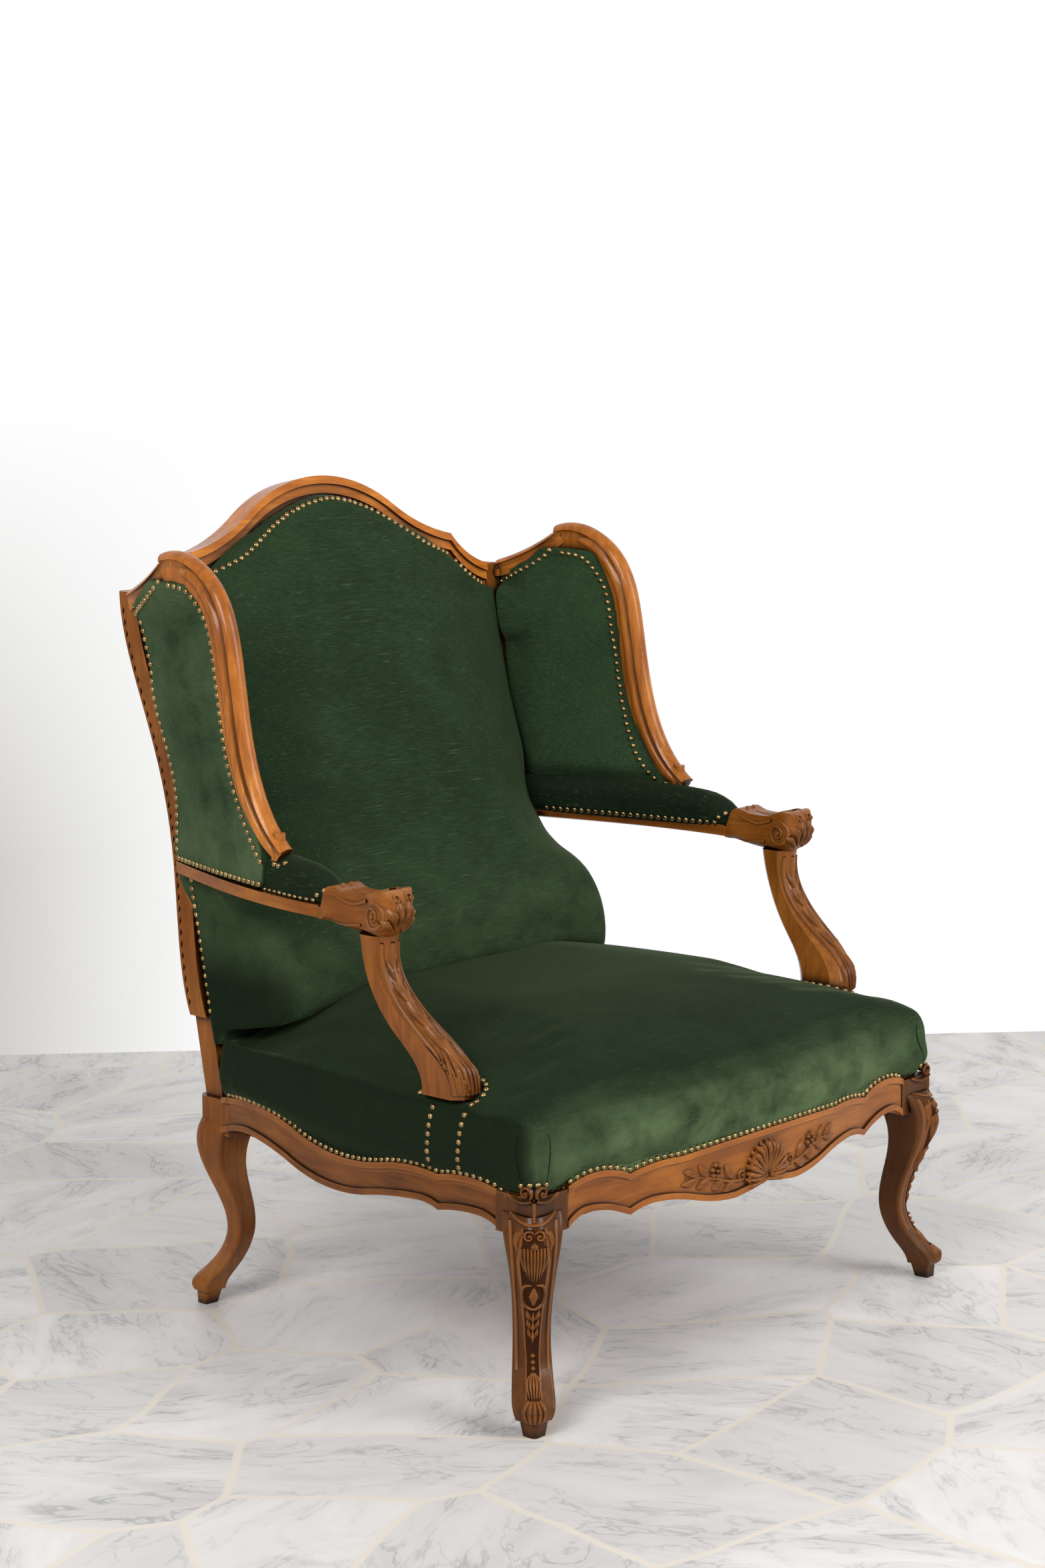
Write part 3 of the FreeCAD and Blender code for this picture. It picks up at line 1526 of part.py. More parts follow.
back_room = back_form()
core = back_core()
keep_shape("back_cover", back_room.cut([seat_room, arm.Shape, other_side(arm.Shape), core]))
keep_shape("back_stuffing", core.cut([behind_back(), seat_room]))
wing = wing_pad().cut(above_wing()).cut([upright.Shape, top_rail.Shape, behind_back(), back_room])
wing_piece = keep_shape("wing_pad_right", wing)
mirrored(wing_piece, "wing_pad_left")
pad = keep_shape("arm_pad_right", arm_pad().cut([wing, upright.Shape, behind_back(), back_room]))
mirrored(pad, "arm_pad_left")
checked_and_written()
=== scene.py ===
import math

import bpy
import numpy as np
from mathutils import Matrix, Vector
from mathutils.bvhtree import BVHTree


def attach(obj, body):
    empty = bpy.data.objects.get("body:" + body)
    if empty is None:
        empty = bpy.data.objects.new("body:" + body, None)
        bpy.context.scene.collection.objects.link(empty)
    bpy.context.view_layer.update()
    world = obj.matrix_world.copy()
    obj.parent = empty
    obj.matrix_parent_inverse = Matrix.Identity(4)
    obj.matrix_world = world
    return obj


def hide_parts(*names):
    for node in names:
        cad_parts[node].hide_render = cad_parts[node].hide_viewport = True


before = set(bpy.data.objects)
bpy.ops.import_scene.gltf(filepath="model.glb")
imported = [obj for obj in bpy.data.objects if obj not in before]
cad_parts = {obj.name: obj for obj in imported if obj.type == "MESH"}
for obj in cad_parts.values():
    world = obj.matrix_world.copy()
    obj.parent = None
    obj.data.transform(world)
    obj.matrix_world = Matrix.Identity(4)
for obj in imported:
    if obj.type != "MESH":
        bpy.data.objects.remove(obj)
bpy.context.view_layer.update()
MM = 0.001


# Finishes: a socket that can be calculated with, and one way to add any other node

class Wire:
    """An output of a node; adding to it or multiplying it makes the node that does so."""

    def __init__(self, finish, socket):
        self.finish = finish
        self.socket = socket

    def maths(self, operation, other):
        return self.finish.add("Math", {0: self, 1: other}, operation=operation)

    def __add__(self, other):
        return self.maths("ADD", other)

    def __mul__(self, other):
        return self.maths("MULTIPLY", other)


class Finish:
    """A material made of nodes around one principled shader."""

    def __init__(self, name):
        self.material = bpy.data.materials.new(name)
        self.material.use_nodes = True
        self.tree = self.material.node_tree
        self.shader = self.tree.nodes["Principled BSDF"]

    def add(self, kind, sockets=None, output=0, **settings):
        node = self.tree.nodes.new("ShaderNode" + kind)
        for field, value in settings.items():
            setattr(node, field, value)
        for key, value in (sockets or {}).items():
            self.join(node.inputs[key], value)
        return Wire(self, node.outputs[output])

    def join(self, socket, value):
        if isinstance(value, Wire):
            self.tree.links.new(value.socket, socket)
        elif hasattr(value, "__len__") and len(value) == 3 and socket.type == "RGBA":
            socket.default_value = (*value, 1)
        else:
            socket.default_value = value

    def set(self, **sockets):
        for name, value in sockets.items():
            self.join(self.shader.inputs[name.replace("_", " ")], value)
        return self.material

    def place(self, scale=(1, 1, 1)):
        """Where a point lies in the shared frame, stretched by a scale."""
        return self.add("Mapping", {"Vector": self.add("TexCoord", output="Object"), "Scale": scale})

    def along(self, axis, vector=None):
        """One coordinate of a direction, or of the place where none is given."""
        return self.add("SeparateXYZ", {0: vector or self.place()}, axis)

    def noise_at(self, vector, scale, detail, roughness, distortion):
        return self.add("TexNoise", {"Vector": vector, "Scale": scale, "Detail": detail, "Roughness": roughness,
                                     "Distortion": distortion})

    def noise(self, scale, detail=4, roughness=0.55, distortion=0.0):
        return self.noise_at(self.place(scale), 1.0, detail, roughness, distortion)

    def ramp(self, factor, *stops):
        tone = self.add("ValToRGB", {"Fac": factor})
        elements = tone.socket.node.color_ramp.elements
        while len(elements) < len(stops):
            elements.new(0.5)
        for element, (place, colour) in zip(elements, stops):
            element.position = place
            element.color = (*colour, 1)
        return tone

    def levels(self, value, low, high):
        return self.add("MapRange", {"Value": value, "From Min": low, "From Max": high})

    def blended(self, factor, first, second):
        mix = self.add("Mix", {"Factor": factor}, data_type="RGBA").socket.node
        colours = [socket for socket in mix.inputs if socket.type == "RGBA"]
        self.join(colours[0], first)
        self.join(colours[1], second)
        return Wire(self, next(socket for socket in mix.outputs if socket.type == "RGBA"))

    def shade(self, distance, samples, inside=False):
        """How open a place is: low in hollows, or near edges where it looks inside."""
        return self.add("AmbientOcclusion", {"Distance": distance}, "AO", samples=samples, inside=inside)

    def bump(self, height, strength, distance):
        return self.add("Bump", {"Height": height, "Strength": strength, "Distance": distance})


def lightened(light, stops):
    return [(place, tuple(light * part for part in colour)) for place, colour in stops]


STAIN = (0.30, (0.105, 0.026, 0.0030)), (0.48, (0.235, 0.070, 0.0075)), (0.68, (0.370, 0.130, 0.0180))
# Dark glaze colour, also laid on as painted shade in hollows.
GLAZE_AND_PAINTED_SHADE = (0.010, 0.0030, 0.0010)
RUBBED = (0.480, 0.165, 0.0320)


def stained_beech(name, grain, light):
    """Red-brown stained beech with its grain along an axis, dark glaze and painted shade in the carving and other
    hollows, worn light edges, and a lightness scale that paints light and shade.
    """
    wood = Finish(name)
    along, across = 5.0, 85.0
    scale = [along if axis == grain else across for axis in "XYZ"]
    figure = wood.noise(scale, 6, 0.6, 0.6)
    pores = wood.noise([4 * s for s in scale], 3, 0.7)
    cloud = wood.noise((7, 7, 7), 3)
    stain = wood.ramp(figure * 0.5 + cloud * 0.5, *lightened(light, STAIN))
    pore_colour = (0.065 * light, 0.016 * light, 0.0025)
    flecked = wood.blended(wood.levels(pores, 0.56, 0.72) * 0.35, stain, pore_colour)
    # Painted shade: the colour goes towards the glaze where ambient occlusion finds hollows and nearby parts,
    # standing for real glaze and shade together.
    glazed_and_shaded = wood.blended(wood.levels(wood.shade(0.016, 8), 0.96, 0.55) * 0.95, flecked, GLAZE_AND_PAINTED_SHADE)
    worn = wood.blended(wood.levels(wood.shade(0.004, 6, True), 0.62, 0.30) * 0.32, glazed_and_shaded, RUBBED)
    return wood.set(Base_Color=worn, Roughness=wood.levels(cloud, 0.2, 0.8) * 0.14 + 0.36,
                    Normal=wood.bump(pores, 0.05, 0.0006), Coat_Weight=0.14 + 0.11 * light,
                    Coat_Roughness=0.09, Specular_IOR_Level=0.16)


PILE = (0.30, (0.0200, 0.0420, 0.0180)), (0.50, (0.0290, 0.0570, 0.0245)), (0.70, (0.0400, 0.0760, 0.0330))
SLUB = (0.115, 0.165, 0.080)
RIB = (0.0045, 0.0110, 0.0040)
# Colours of painted shade and painted sheen on the velvet.
SHADED_PILE = (0.0040, 0.0085, 0.0032)
SEAT_PAINTED_SHEEN = (0.150, 0.215, 0.098)
WING_PAINTED_SHEEN = (0.112, 0.160, 0.076)


def seat_painted_sheen_and_shade(cloth, colour, pile, brushed):
    """Painted sheen and shade on the seat and back: painted shade on top and at the sides of the seat, a painted
    pale sheen on its front border, at the foot of the back and on the back's flanks."""
    facing = cloth.add("NewGeometry", output="Normal")
    sideways = cloth.along("X", facing) * cloth.along("X", facing)
    upward = cloth.along("Z", facing)
    forward = cloth.along("Y", facing) * -1.0
    height = cloth.along("Z")
    aside = cloth.along("X")
    on_seat = cloth.levels(height, 0.50, 0.45)
    top = cloth.levels(upward, 0.30, 0.90) * on_seat
    side = cloth.levels(sideways, 0.25, 0.65) * on_seat
    # Painted shade: the top and sides of the seat are painted darker.
    darker = cloth.blended(top * 0.52, colour, SHADED_PILE)
    darker = cloth.blended(side * 0.72, darker, SHADED_PILE)
    # Painted sheen: a pale band on the seat's front border, strongest away from its corners, and paler pile at the
    # foot and flanks of the back.
    middle = cloth.levels(aside * aside, 0.160, 0.050) * 0.65 + 0.35
    border = cloth.levels(height, 0.392, 0.325) * cloth.levels(forward, 0.15, 0.85) * middle
    foot = cloth.levels(height, 0.60, 0.47) * cloth.levels(height, 0.40, 0.44) * cloth.levels(forward, 0.3, 0.9)
    painted_sheen_mask = (border * 0.60 + foot * 0.14) * cloth.levels(brushed, 0.20, 0.62)
    flank = cloth.levels(sideways, 0.20, 0.60) * cloth.levels(height, 0.44, 0.50)
    return cloth.blended(painted_sheen_mask + flank * 0.24 * cloth.levels(pile, 0.30, 0.62), darker, SEAT_PAINTED_SHEEN)


def wing_painted_sheen(cloth, colour, pile, brushed):
    """Painted sheen on the wings: their outer sides are painted paler."""
    facing = cloth.add("NewGeometry", output="Normal")
    outward = cloth.along("X", facing) * cloth.along("X", cloth.place((2.5, 1, 1)))
    # Painted sheen on faces that look outwards.
    painted_sheen_mask = cloth.levels(outward, 0.45, 0.95) * cloth.levels(pile, 0.30, 0.62)
    return cloth.blended(painted_sheen_mask * 0.60, colour, WING_PAINTED_SHEEN)


def velvet(name, weft, light, sheen_and_shade=None):
    """Green velvet: a fine rib across the weft, pale slubs along it, and pile that is lighter or darker where it is
    brushed; a lightness scale paints light and shade on its colour, and a given function may add painted sheen and
    shade."""
    cloth = Finish(name)
    along, across = 24.0, 430.0
    slub = cloth.noise([along if axis == weft else across for axis in "XYZ"], 2, 0.6)
    rows = cloth.noise([2.2 * along if axis == weft else 1.5 * across for axis in "XYZ"], 2, 0.5)
    cloud = cloth.noise((4.0, 4.0, 5.5), 3, 0.5, 0.6)
    brushed = cloth.noise((18, 18, 24), 4, 0.6, 0.3)
    pile = cloud * 0.60 + brushed * 0.40
    colour = cloth.ramp(pile, *lightened(light, PILE))
    streaked = cloth.blended(cloth.levels(slub, 0.60, 0.78) * 0.40, colour, SLUB)
    lined = cloth.blended(cloth.levels(rows, 0.35, 0.65) * 0.42, streaked, RIB)
    grain = rows * 0.6 + cloth.noise((900, 900, 900), 2) * 0.4
    return cloth.set(Base_Color=sheen_and_shade(cloth, lined, pile, brushed) if sheen_and_shade else lined, Roughness=0.85,
                     Normal=cloth.bump(grain, 0.25, 0.0008), Sheen_Weight=0.15, Sheen_Roughness=0.32,
                     Sheen_Tint=(0.62, 0.80, 0.40, 1), Specular_IOR_Level=0.08)


def antique_brass():
    brass = Finish("antique_brass")
    cloud = brass.noise((60, 60, 60), 3)
    tone = brass.ramp(cloud, (0.3, (0.240, 0.150, 0.058)), (0.7, (0.540, 0.370, 0.165)))
    # Darker where other surfaces are close, as round the rim on the cloth.
    darker_near_surfaces = brass.blended(brass.levels(brass.shade(0.004, 4), 0.75, 0.3) * 0.85, tone, (0.05, 0.03, 0.012))
    return brass.set(Base_Color=darker_near_surfaces, Metallic=1.0, Roughness=brass.levels(cloud, 0.3, 0.7) * 0.12 + 0.24)


def plain_finish(name, dark, light, threads):
    """A matt finish of two tones, finely crossed as in plain cloth or coarsely as in a scraped ground of carving,
    which is dark with glaze and painted shade."""
    cloth = Finish(name)
    warp = cloth.noise((threads, threads * 0.05, threads * 0.05), 1)
    weft = cloth.noise((threads * 0.05, threads, threads * 0.05), 1)
    tone = cloth.ramp(warp * 0.5 + weft * 0.5, (0.35, dark), (0.65, light))
    return cloth.set(Base_Color=tone, Roughness=0.9, Normal=cloth.bump(warp + weft, 0.3, 0.0006),
                     Specular_IOR_Level=0.1)


def drawn_steel():
    steel = Finish("drawn_steel")
    tone = steel.noise((90, 90, 90), 3)
    return steel.set(Base_Color=steel.ramp(tone, (0.3, (0.20, 0.19, 0.18)), (0.7, (0.42, 0.41, 0.39))),
                     Metallic=1.0, Roughness=tone * 0.2 + 0.3)


BEECH = {}


def beech(grain, light):
    """The stained wood with its grain along an axis, at a lightness that paints light and shade: some members are
    painted lighter, the carving darker.
    """
    if (grain, light) not in BEECH:
        BEECH[grain, light] = stained_beech(f"stained_beech_{grain.lower()}_{round(light * 100)}", grain, light)
    return BEECH[grain, light]


# Each velvet's lightness paints light and shade: the wings lighter, the seat and back darker, the arm rolls darkest
# in the shade of the wings.
VELVET = {"seat": velvet("green_velvet_seat", "X", 0.72, seat_painted_sheen_and_shade),
          "wing": velvet("green_velvet_wing", "Y", 1.06, wing_painted_sheen),
          "arm": velvet("green_velvet_arm", "Y", 0.32)}
BRASS = antique_brass()
LINING = plain_finish("maroon_lining", (0.060, 0.008, 0.010), (0.120, 0.018, 0.020), 900)
JUTE = plain_finish("jute", (0.20, 0.13, 0.06), (0.42, 0.30, 0.17), 500)
STEEL = drawn_steel()
# Painted shade: dark lines along the corner seams of the seat cover.
SEAM_SHADE = plain_finish("seam_shade", (0.0015, 0.0060, 0.0025), (0.0030, 0.0110, 0.0045), 900)
# Dark strips of glaze and painted shade in the gouge cuts and quirks of the frame.
GOUGE = plain_finish("dark_gouge", (0.0100, 0.0030, 0.0010), (0.0260, 0.0075, 0.0022), 60)
# A dark sheet of glaze and painted shade behind the carving of the knees.
GROUND = plain_finish("dark_ground", (0.0260, 0.0078, 0.0024), (0.0560, 0.0170, 0.0048), 60)


# Handling pieces

def only(piece):
    bpy.ops.object.select_all(action="DESELECT")
    piece.select_set(True)
    bpy.context.view_layer.objects.active = piece


def linked(name, data):
    """A new object in the scene."""
    piece = bpy.data.objects.new(name, data)
    bpy.context.scene.collection.objects.link(piece)
    return piece


def edit_whole(piece, operation, **settings):
    """One editing operation on the whole of a piece."""
    only(piece)
    bpy.ops.object.mode_set(mode="EDIT")
    bpy.ops.mesh.select_all(action="SELECT")
    operation(**settings)
    bpy.ops.object.mode_set(mode="OBJECT")


def new_piece(name, spots, faces):
    mesh = bpy.data.meshes.new(name)
    mesh.from_pydata(spots, [], faces)
    mesh.update()
    piece = linked(name, mesh)
    only(piece)
    return piece


def finish_mesh(mesh, material):
    mesh.materials.clear()
    mesh.materials.append(material)


def dressed(piece, material):
    finish_mesh(piece.data, material)
    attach(piece, "root")
    return piece


def evened(piece, rounds):
    smooth = piece.modifiers.new("even", "SMOOTH")
    smooth.factor = 0.5
    smooth.iterations = rounds


def apply_all(piece):
    only(piece)
    for modifier in list(piece.modifiers):
        bpy.ops.object.modifier_apply(modifier=modifier.name)


MERGE_WITHIN = 0.00002


def copy_of(name, nodes):
    """The meshes of some frame nodes as one new piece, with its loose triangles merged."""
    bpy.ops.object.select_all(action="DESELECT")
    twins = []
    for node in nodes:
        twin = linked(name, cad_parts[node].data.copy())
        twin.select_set(True)
        twins.append(twin)
    piece = twins[0]
    bpy.context.view_layer.objects.active = piece
    if len(twins) > 1:
        bpy.ops.object.join()
    piece.name = name
    piece.data.name = name
    edit_whole(piece, bpy.ops.mesh.remove_doubles, threshold=MERGE_WITHIN)
    return piece


def points_of(piece):
    spots = np.zeros(len(piece.data.vertices) * 3)
    piece.data.vertices.foreach_get("co", spots)
    return spots.reshape(-1, 3)


def put_points(piece, spots):
    piece.data.vertices.foreach_set("co", np.ascontiguousarray(spots, float).ravel())
    piece.data.update()


def surface(*pieces):
    """A tree that answers where a straight line meets these pieces, and what lies nearest."""
    corners, faces = [], []
    for piece in pieces:
        start = len(corners)
        corners += [v.co.copy() for v in piece.data.vertices]
        faces += [tuple(start + i for i in p.vertices) for p in piece.data.polygons]
    return BVHTree.FromPolygons(corners, faces)


def wood(*nodes):
    """The tree of some wooden nodes."""
    return surface(*[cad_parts[node] for node in nodes])


WOOD_NODES = [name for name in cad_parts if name.startswith((
    "front_leg", "rear_post", "front_seat", "rear_seat", "side_seat", "crest", "lower_back", "wing_up",
    "wing_top", "arm_rail", "arm_support"))]
wood_tree = wood(*WOOD_NODES)


# Upholstery: the seat, back and wing pads are each their solid, remeshed, blown up as cloth under pressure and held
# where nailed; the arm rolls are shaped from cylinders

NAILED_WITHIN = 0.009
CLOTH_STEPS = 20


def blow_up(piece, pressure, cap):
    """A short cloth run under pressure: what is near the wood is held, and no point moves further than a cap."""
    start = points_of(piece)
    held = piece.vertex_groups.new(name="nailed")
    for index, spot in enumerate(start):
        if wood_tree.find_nearest(Vector(spot), NAILED_WITHIN)[0] is not None:
            held.add([index], 1.0, "REPLACE")
    cloth = piece.modifiers.new("stuffing", "CLOTH")
    cloth.settings.quality = 4
    cloth.settings.use_pressure = True
    cloth.settings.uniform_pressure_force = pressure
    cloth.settings.effector_weights.gravity = 0
    cloth.settings.vertex_group_mass = "nailed"
    cloth.point_cache.frame_start = 1
    cloth.point_cache.frame_end = CLOTH_STEPS
    for count in range(1, CLOTH_STEPS + 1):
        bpy.context.scene.frame_set(count)
    shown = piece.evaluated_get(bpy.context.evaluated_depsgraph_get())
    move = points_of(shown) - start
    length = np.linalg.norm(move, axis=1, keepdims=True)
    move *= np.minimum(1.0, cap / np.maximum(length, 1e-9))
    piece.modifiers.remove(cloth)
    put_points(piece, start + move)
    bpy.context.scene.frame_set(1)


def upholstered(name, nodes, cloth_name, drawn, pressure, cap, voxel):
    piece = copy_of(name, nodes)
    piece.data.remesh_voxel_size = voxel
    piece.data.remesh_voxel_adaptivity = 0
    bpy.ops.object.voxel_remesh()
    blow_up(piece, pressure, cap)
    put_points(piece, drawn(points_of(piece)))
    evened(piece, 4)
    fine = piece.modifiers.new("fine", "SUBSURF")
    fine.levels = 1
    fine.render_levels = 1
    apply_all(piece)
    bpy.ops.object.shade_smooth()
    dressed(piece, VELVET[cloth_name])
    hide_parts(*nodes)
    return piece


SIDES = {"left": -1, "right": 1}
RAIL_CORNER = (0.404, -0.378)
BACK_FOOT_Y, BACK_FOOT_Z, BACK_LEAN = 0.238, 0.290, 0.186
WING_X, WING_Y, WING_SPLAY = 0.396, 0.032, 0.0588
ARM_BEHIND = 0.10
ARM_TAPER = 0.30


def back_face_y(height):
    """Front face of the leaning uprights."""
    return BACK_FOOT_Y + (height - BACK_FOOT_Z) * BACK_LEAN


def wing_plane_x(y):
    """Middle of the wing's frame, as a distance from the middle of the chair."""
    return WING_X - WING_SPLAY * (y - WING_Y)


def inside_wing(y, clear):
    """How far out something may lie that stays inside the wing; it draws in towards the back."""
    return wing_plane_x(y) - clear - ARM_TAPER * np.clip(y - ARM_BEHIND, 0, 1)


def step_up(values, low, high):
    share = np.clip((values - low) / (high - low), 0, 1)
    return share * share * (3 - 2 * share)


def seat_drawn(spots):
    """The foot of the seat cover is drawn out to the rails where it is nailed, and its crown is pressed flatter
    towards the edges and beside the uprights of the back."""
    far = np.abs(spots[:, 0])
    foot = 1 - step_up(spots[:, 2], 0.300, 0.335)
    corner = 1 - step_up(np.hypot(far - RAIL_CORNER[0], spots[:, 1] - RAIL_CORNER[1]), 0.010, 0.065)
    out = np.sign(spots[:, 0]) * foot
    rim = np.maximum(far / 0.41, np.abs(spots[:, 1] + 0.09) / 0.33)
    upper = step_up(spots[:, 2], 0.365, 0.385)
    spots[:, 0] += out * (0.0045 * step_up(far, 0.28, 0.34) + 0.0050 * corner)
    flatter = 0.006 * step_up(rim, 0.55, 0.92)
    flatter += 0.003 * step_up(far, 0.22, 0.37) * step_up(spots[:, 1], -0.16, 0.08)
    spots[:, 2] -= flatter * upper
    spots[:, 2] -= 0.020 * step_up(spots[:, 1], 0.04, 0.20) * step_up(far, 0.19, 0.29) * upper
    spots[:, 1] -= foot * (0.0045 * (1 - step_up(spots[:, 1], -0.36, -0.33)) + 0.0050 * corner)
    return spots


def back_drawn(spots):
    """The back is drawn in beside the arms."""
    far = np.abs(spots[:, 0])
    level = spots[:, 2]
    beside = step_up(level, 0.515, 0.580) * (1 - step_up(level, 0.600, 0.690))
    spots[:, 1] += 0.024 * step_up(far, 0.18, 0.31) * beside
    return spots


STILE_LEVELS = np.linspace(0.60, 0.94, 35)
stile_tree = wood("rear_post_right")
STILE_EDGE = [stile_tree.ray_cast(Vector((0.6, back_face_y(level) + 0.015, level)), Vector((-1, 0, 0)), 0.5)[0].x
              for level in STILE_LEVELS]


def wing_drawn(spots):
    """The wing's cover is nailed out to the upright behind, and is thin where the arm pad lies against it."""
    sign = np.sign(spots[:, 0])
    far = np.abs(spots[:, 0])
    y = spots[:, 1]
    level = spots[:, 2]
    rear = back_face_y(level)
    behind = step_up(y, rear - 0.065, rear - 0.012)
    edge = np.interp(level, STILE_LEVELS, STILE_EDGE) - 0.002
    outer = far > edge - 0.016
    far = far + np.where(outer, np.maximum(edge - far, 0), 0.0) * behind
    thin = 1 - step_up(level, 0.632, 0.662)
    inner_limit = inside_wing(y, 0.006)
    far = np.where(far < inner_limit, far + (inner_limit - far) * thin * 0.9, far)
    spots[:, 0] = sign * far
    return spots


seat = upholstered("seat_upholstery", ["seat_cover", "seat_stuffing"], "seat", seat_drawn,
                   pressure=2.0, cap=0.005, voxel=0.008)
back = upholstered("back_upholstery", ["back_cover", "back_stuffing"], "seat", back_drawn,
                   pressure=2.0, cap=0.005, voxel=0.008)
wings = {side: upholstered("wing_upholstery_" + side, ["wing_pad_" + side], "wing", wing_drawn,
                           pressure=1.5, cap=0.003, voxel=0.005) for side in SIDES}

ARM_LINE = [(0.300, 0.330, 0.641), (0.214, 0.351, 0.644), (0.150, 0.367, 0.643), (0.090, 0.380, 0.641),
            (0.035, 0.390, 0.639), (-0.011, 0.397, 0.635), (-0.038, 0.399, 0.628), (-0.058, 0.400, 0.619)]
ARM_SEAT = 0.5870
ARM_HALF = 0.0265
ARM_END_Y, ARM_END_LENGTH = 0.004, 0.062


def arm_x(y):
    """Middle of the roll on the arm, as a distance from the middle of the chair."""
    return np.interp(-y, [-place[0] for place in ARM_LINE], [place[1] for place in ARM_LINE])


def arm_bolster(side):
    """The stuffed roll on the arm, lying inside the wing and rounded off before the heel."""
    bpy.ops.mesh.primitive_cylinder_add(vertices=40, radius=1, depth=1, end_fill_type="TRIFAN")
    piece = bpy.context.object
    piece.name = "arm_upholstery_" + side
    piece.data.name = piece.name
    edit_whole(piece, bpy.ops.mesh.subdivide, number_cuts=30)
    u, v, length = points_of(piece).T
    first, last = ARM_LINE[0][0], ARM_LINE[-1][0]
    y = first + (last - first) * np.clip(length + 0.5, 0, 1)
    top = np.interp(-y, [-place[0] for place in ARM_LINE], [place[2] for place in ARM_LINE])
    into_end = np.clip((ARM_END_Y - y) / ARM_END_LENGTH, 0, 1)
    round_end = np.sqrt(np.clip(1 - into_end ** 2.6, 0, 1))
    middle = (top + ARM_SEAT) / 2
    tall = (top - ARM_SEAT) / 2
    swell = np.maximum(np.hypot(u, v), 1e-9)
    squared = np.where(v < 0, np.minimum(1.16, swell / np.maximum(np.abs(u), np.abs(v))), 1.0)
    across = np.clip(u * squared, -1.08, 1.08)
    up = np.clip(v * squared, -1.0, 1.0)
    far = arm_x(y) - 0.004 + across * ARM_HALF * (0.35 + 0.65 * round_end)
    limit = inside_wing(y, 0.008) + 0.05 * (1 - step_up(y, 0.088, 0.135))
    level = middle + up * tall * (0.4 + 0.6 * round_end) - tall * (1 - round_end) * 0.35
    put_points(piece, np.stack([SIDES[side] * np.minimum(far, limit), y, level], axis=1))
    evened(piece, 6)
    apply_all(piece)
    edit_whole(piece, bpy.ops.mesh.normals_make_consistent, inside=False)
    bpy.ops.object.shade_smooth()
    dressed(piece, VELVET["arm"])
    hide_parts("arm_pad_" + side)
    return piece


arms = {side: arm_bolster(side) for side in SIDES}


def outside_back():
    """The cloth behind the back, stretched flat with a slight swell."""
    piece = copy_of("outside_back_upholstery", ["outside_back_cover"])
    edit_whole(piece, bpy.ops.mesh.subdivide, number_cuts=12)
    spots = points_of(piece)
    low, high = spots.min(axis=0), spots.max(axis=0)
    share = (spots - low) / (high - low)
    swell = np.sin(np.pi * share[:, 0]) * np.sin(np.pi * np.clip(share[:, 2], 0, 1))
    spots[:, 1] += 0.004 * swell
    put_points(piece, spots)
    bpy.ops.object.shade_smooth()
    dressed(piece, VELVET["seat"])
    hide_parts("outside_back_cover")


outside_back()

lining = copy_of("seat_lining", ["dust_cover"])
edit_whole(lining, bpy.ops.mesh.subdivide, number_cuts=3)
dressed(lining, LINING)
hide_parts("dust_cover")


# Frame finishes

# Painted light and shade: each member's wood is lightened or darkened for the light that falls on it, most on the
# crest and wings, least on the front legs.
MEMBER_PAINTED_LIGHT = {"crest": 2.1, "wing": 1.65, "front_seat_rail": 1.35, "arm": 1.05, "rear_post": 0.9, "front_leg": 0.40,
         "side_seat_rail": 0.75}
GRAIN_ACROSS = ("front_seat", "rear_seat", "crest", "lower_back")
GRAIN_BACKWARD = ("side_seat", "arm_rail", "wing_top")
for name in WOOD_NODES:
    grain = "X" if name.startswith(GRAIN_ACROSS) else "Y" if name.startswith(GRAIN_BACKWARD) else "Z"
    light = next((tone for start, tone in MEMBER_PAINTED_LIGHT.items() if name.startswith(start)), 1.0)
    finish_mesh(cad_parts[name].data, beech(grain, light))
for name, finish in (("seat_webbing", JUTE), ("back_webbing", JUTE), ("spring_hessian", JUTE),
                     ("seat_springs", STEEL)):
    finish_mesh(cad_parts[name].data, finish)


# Carving tools: strips laid on the frame or the cloth along lines drawn on one of its faces

SINK = 0.0009
UP = Vector((0, 0, 1))


class Face:
    """A face of wood or cloth seen along a line of sight, or a plain plane where there is no tree; a place drawn
    on it in millimetres becomes a point and a way out."""

    def __init__(self, tree, origin, across, up=UP, reach=0.09):
        self.tree = tree
        self.origin = Vector(origin)
        self.across = Vector(across).normalized()
        self.up = Vector(up)
        self.way = self.up.cross(self.across)
        self.reach = reach

    def at(self, u, v):
        start = self.origin + self.across * (u * MM) + self.up * (v * MM)
        if self.tree is None:
            return start, -self.way
        hit, normal, _, _ = self.tree.ray_cast(start - self.way * self.reach, self.way, 3 * self.reach)
        if hit is None:
            hit, normal, _, _ = self.tree.find_nearest(start)
        if normal.dot(self.way) > 0:
            normal = -normal
        return hit, (normal - self.way * 0.8).normalized()


def round_form(t):
    return math.sqrt(max(0.0, 1 - t * t))


def leaf_form(t):
    return round_form(t) * (0.55 + 0.45 * min(1.0, abs(t) / 0.32))


def even_curve(line, step):
    """A smooth curve through a few places, as places a short step apart."""
    knots = [np.array(p, float) for p in line]
    if len(knots) == 2:
        knots = [knots[0], (knots[0] + knots[1]) / 2, knots[1]]
    ends = [2 * knots[0] - knots[1]] + knots + [2 * knots[-1] - knots[-2]]
    found = []
    for a, b, c, d in zip(ends, ends[1:], ends[2:], ends[3:]):
        count = max(2, int(np.linalg.norm(c - b) / step) + 1)
        for t in np.arange(count) / count:
            found.append(0.5 * (2 * b + (c - a) * t + (2 * a - 5 * b + 4 * c - d) * t ** 2
                                + (3 * b - a - 3 * c + d) * t ** 3))
    return found + [knots[-1]]


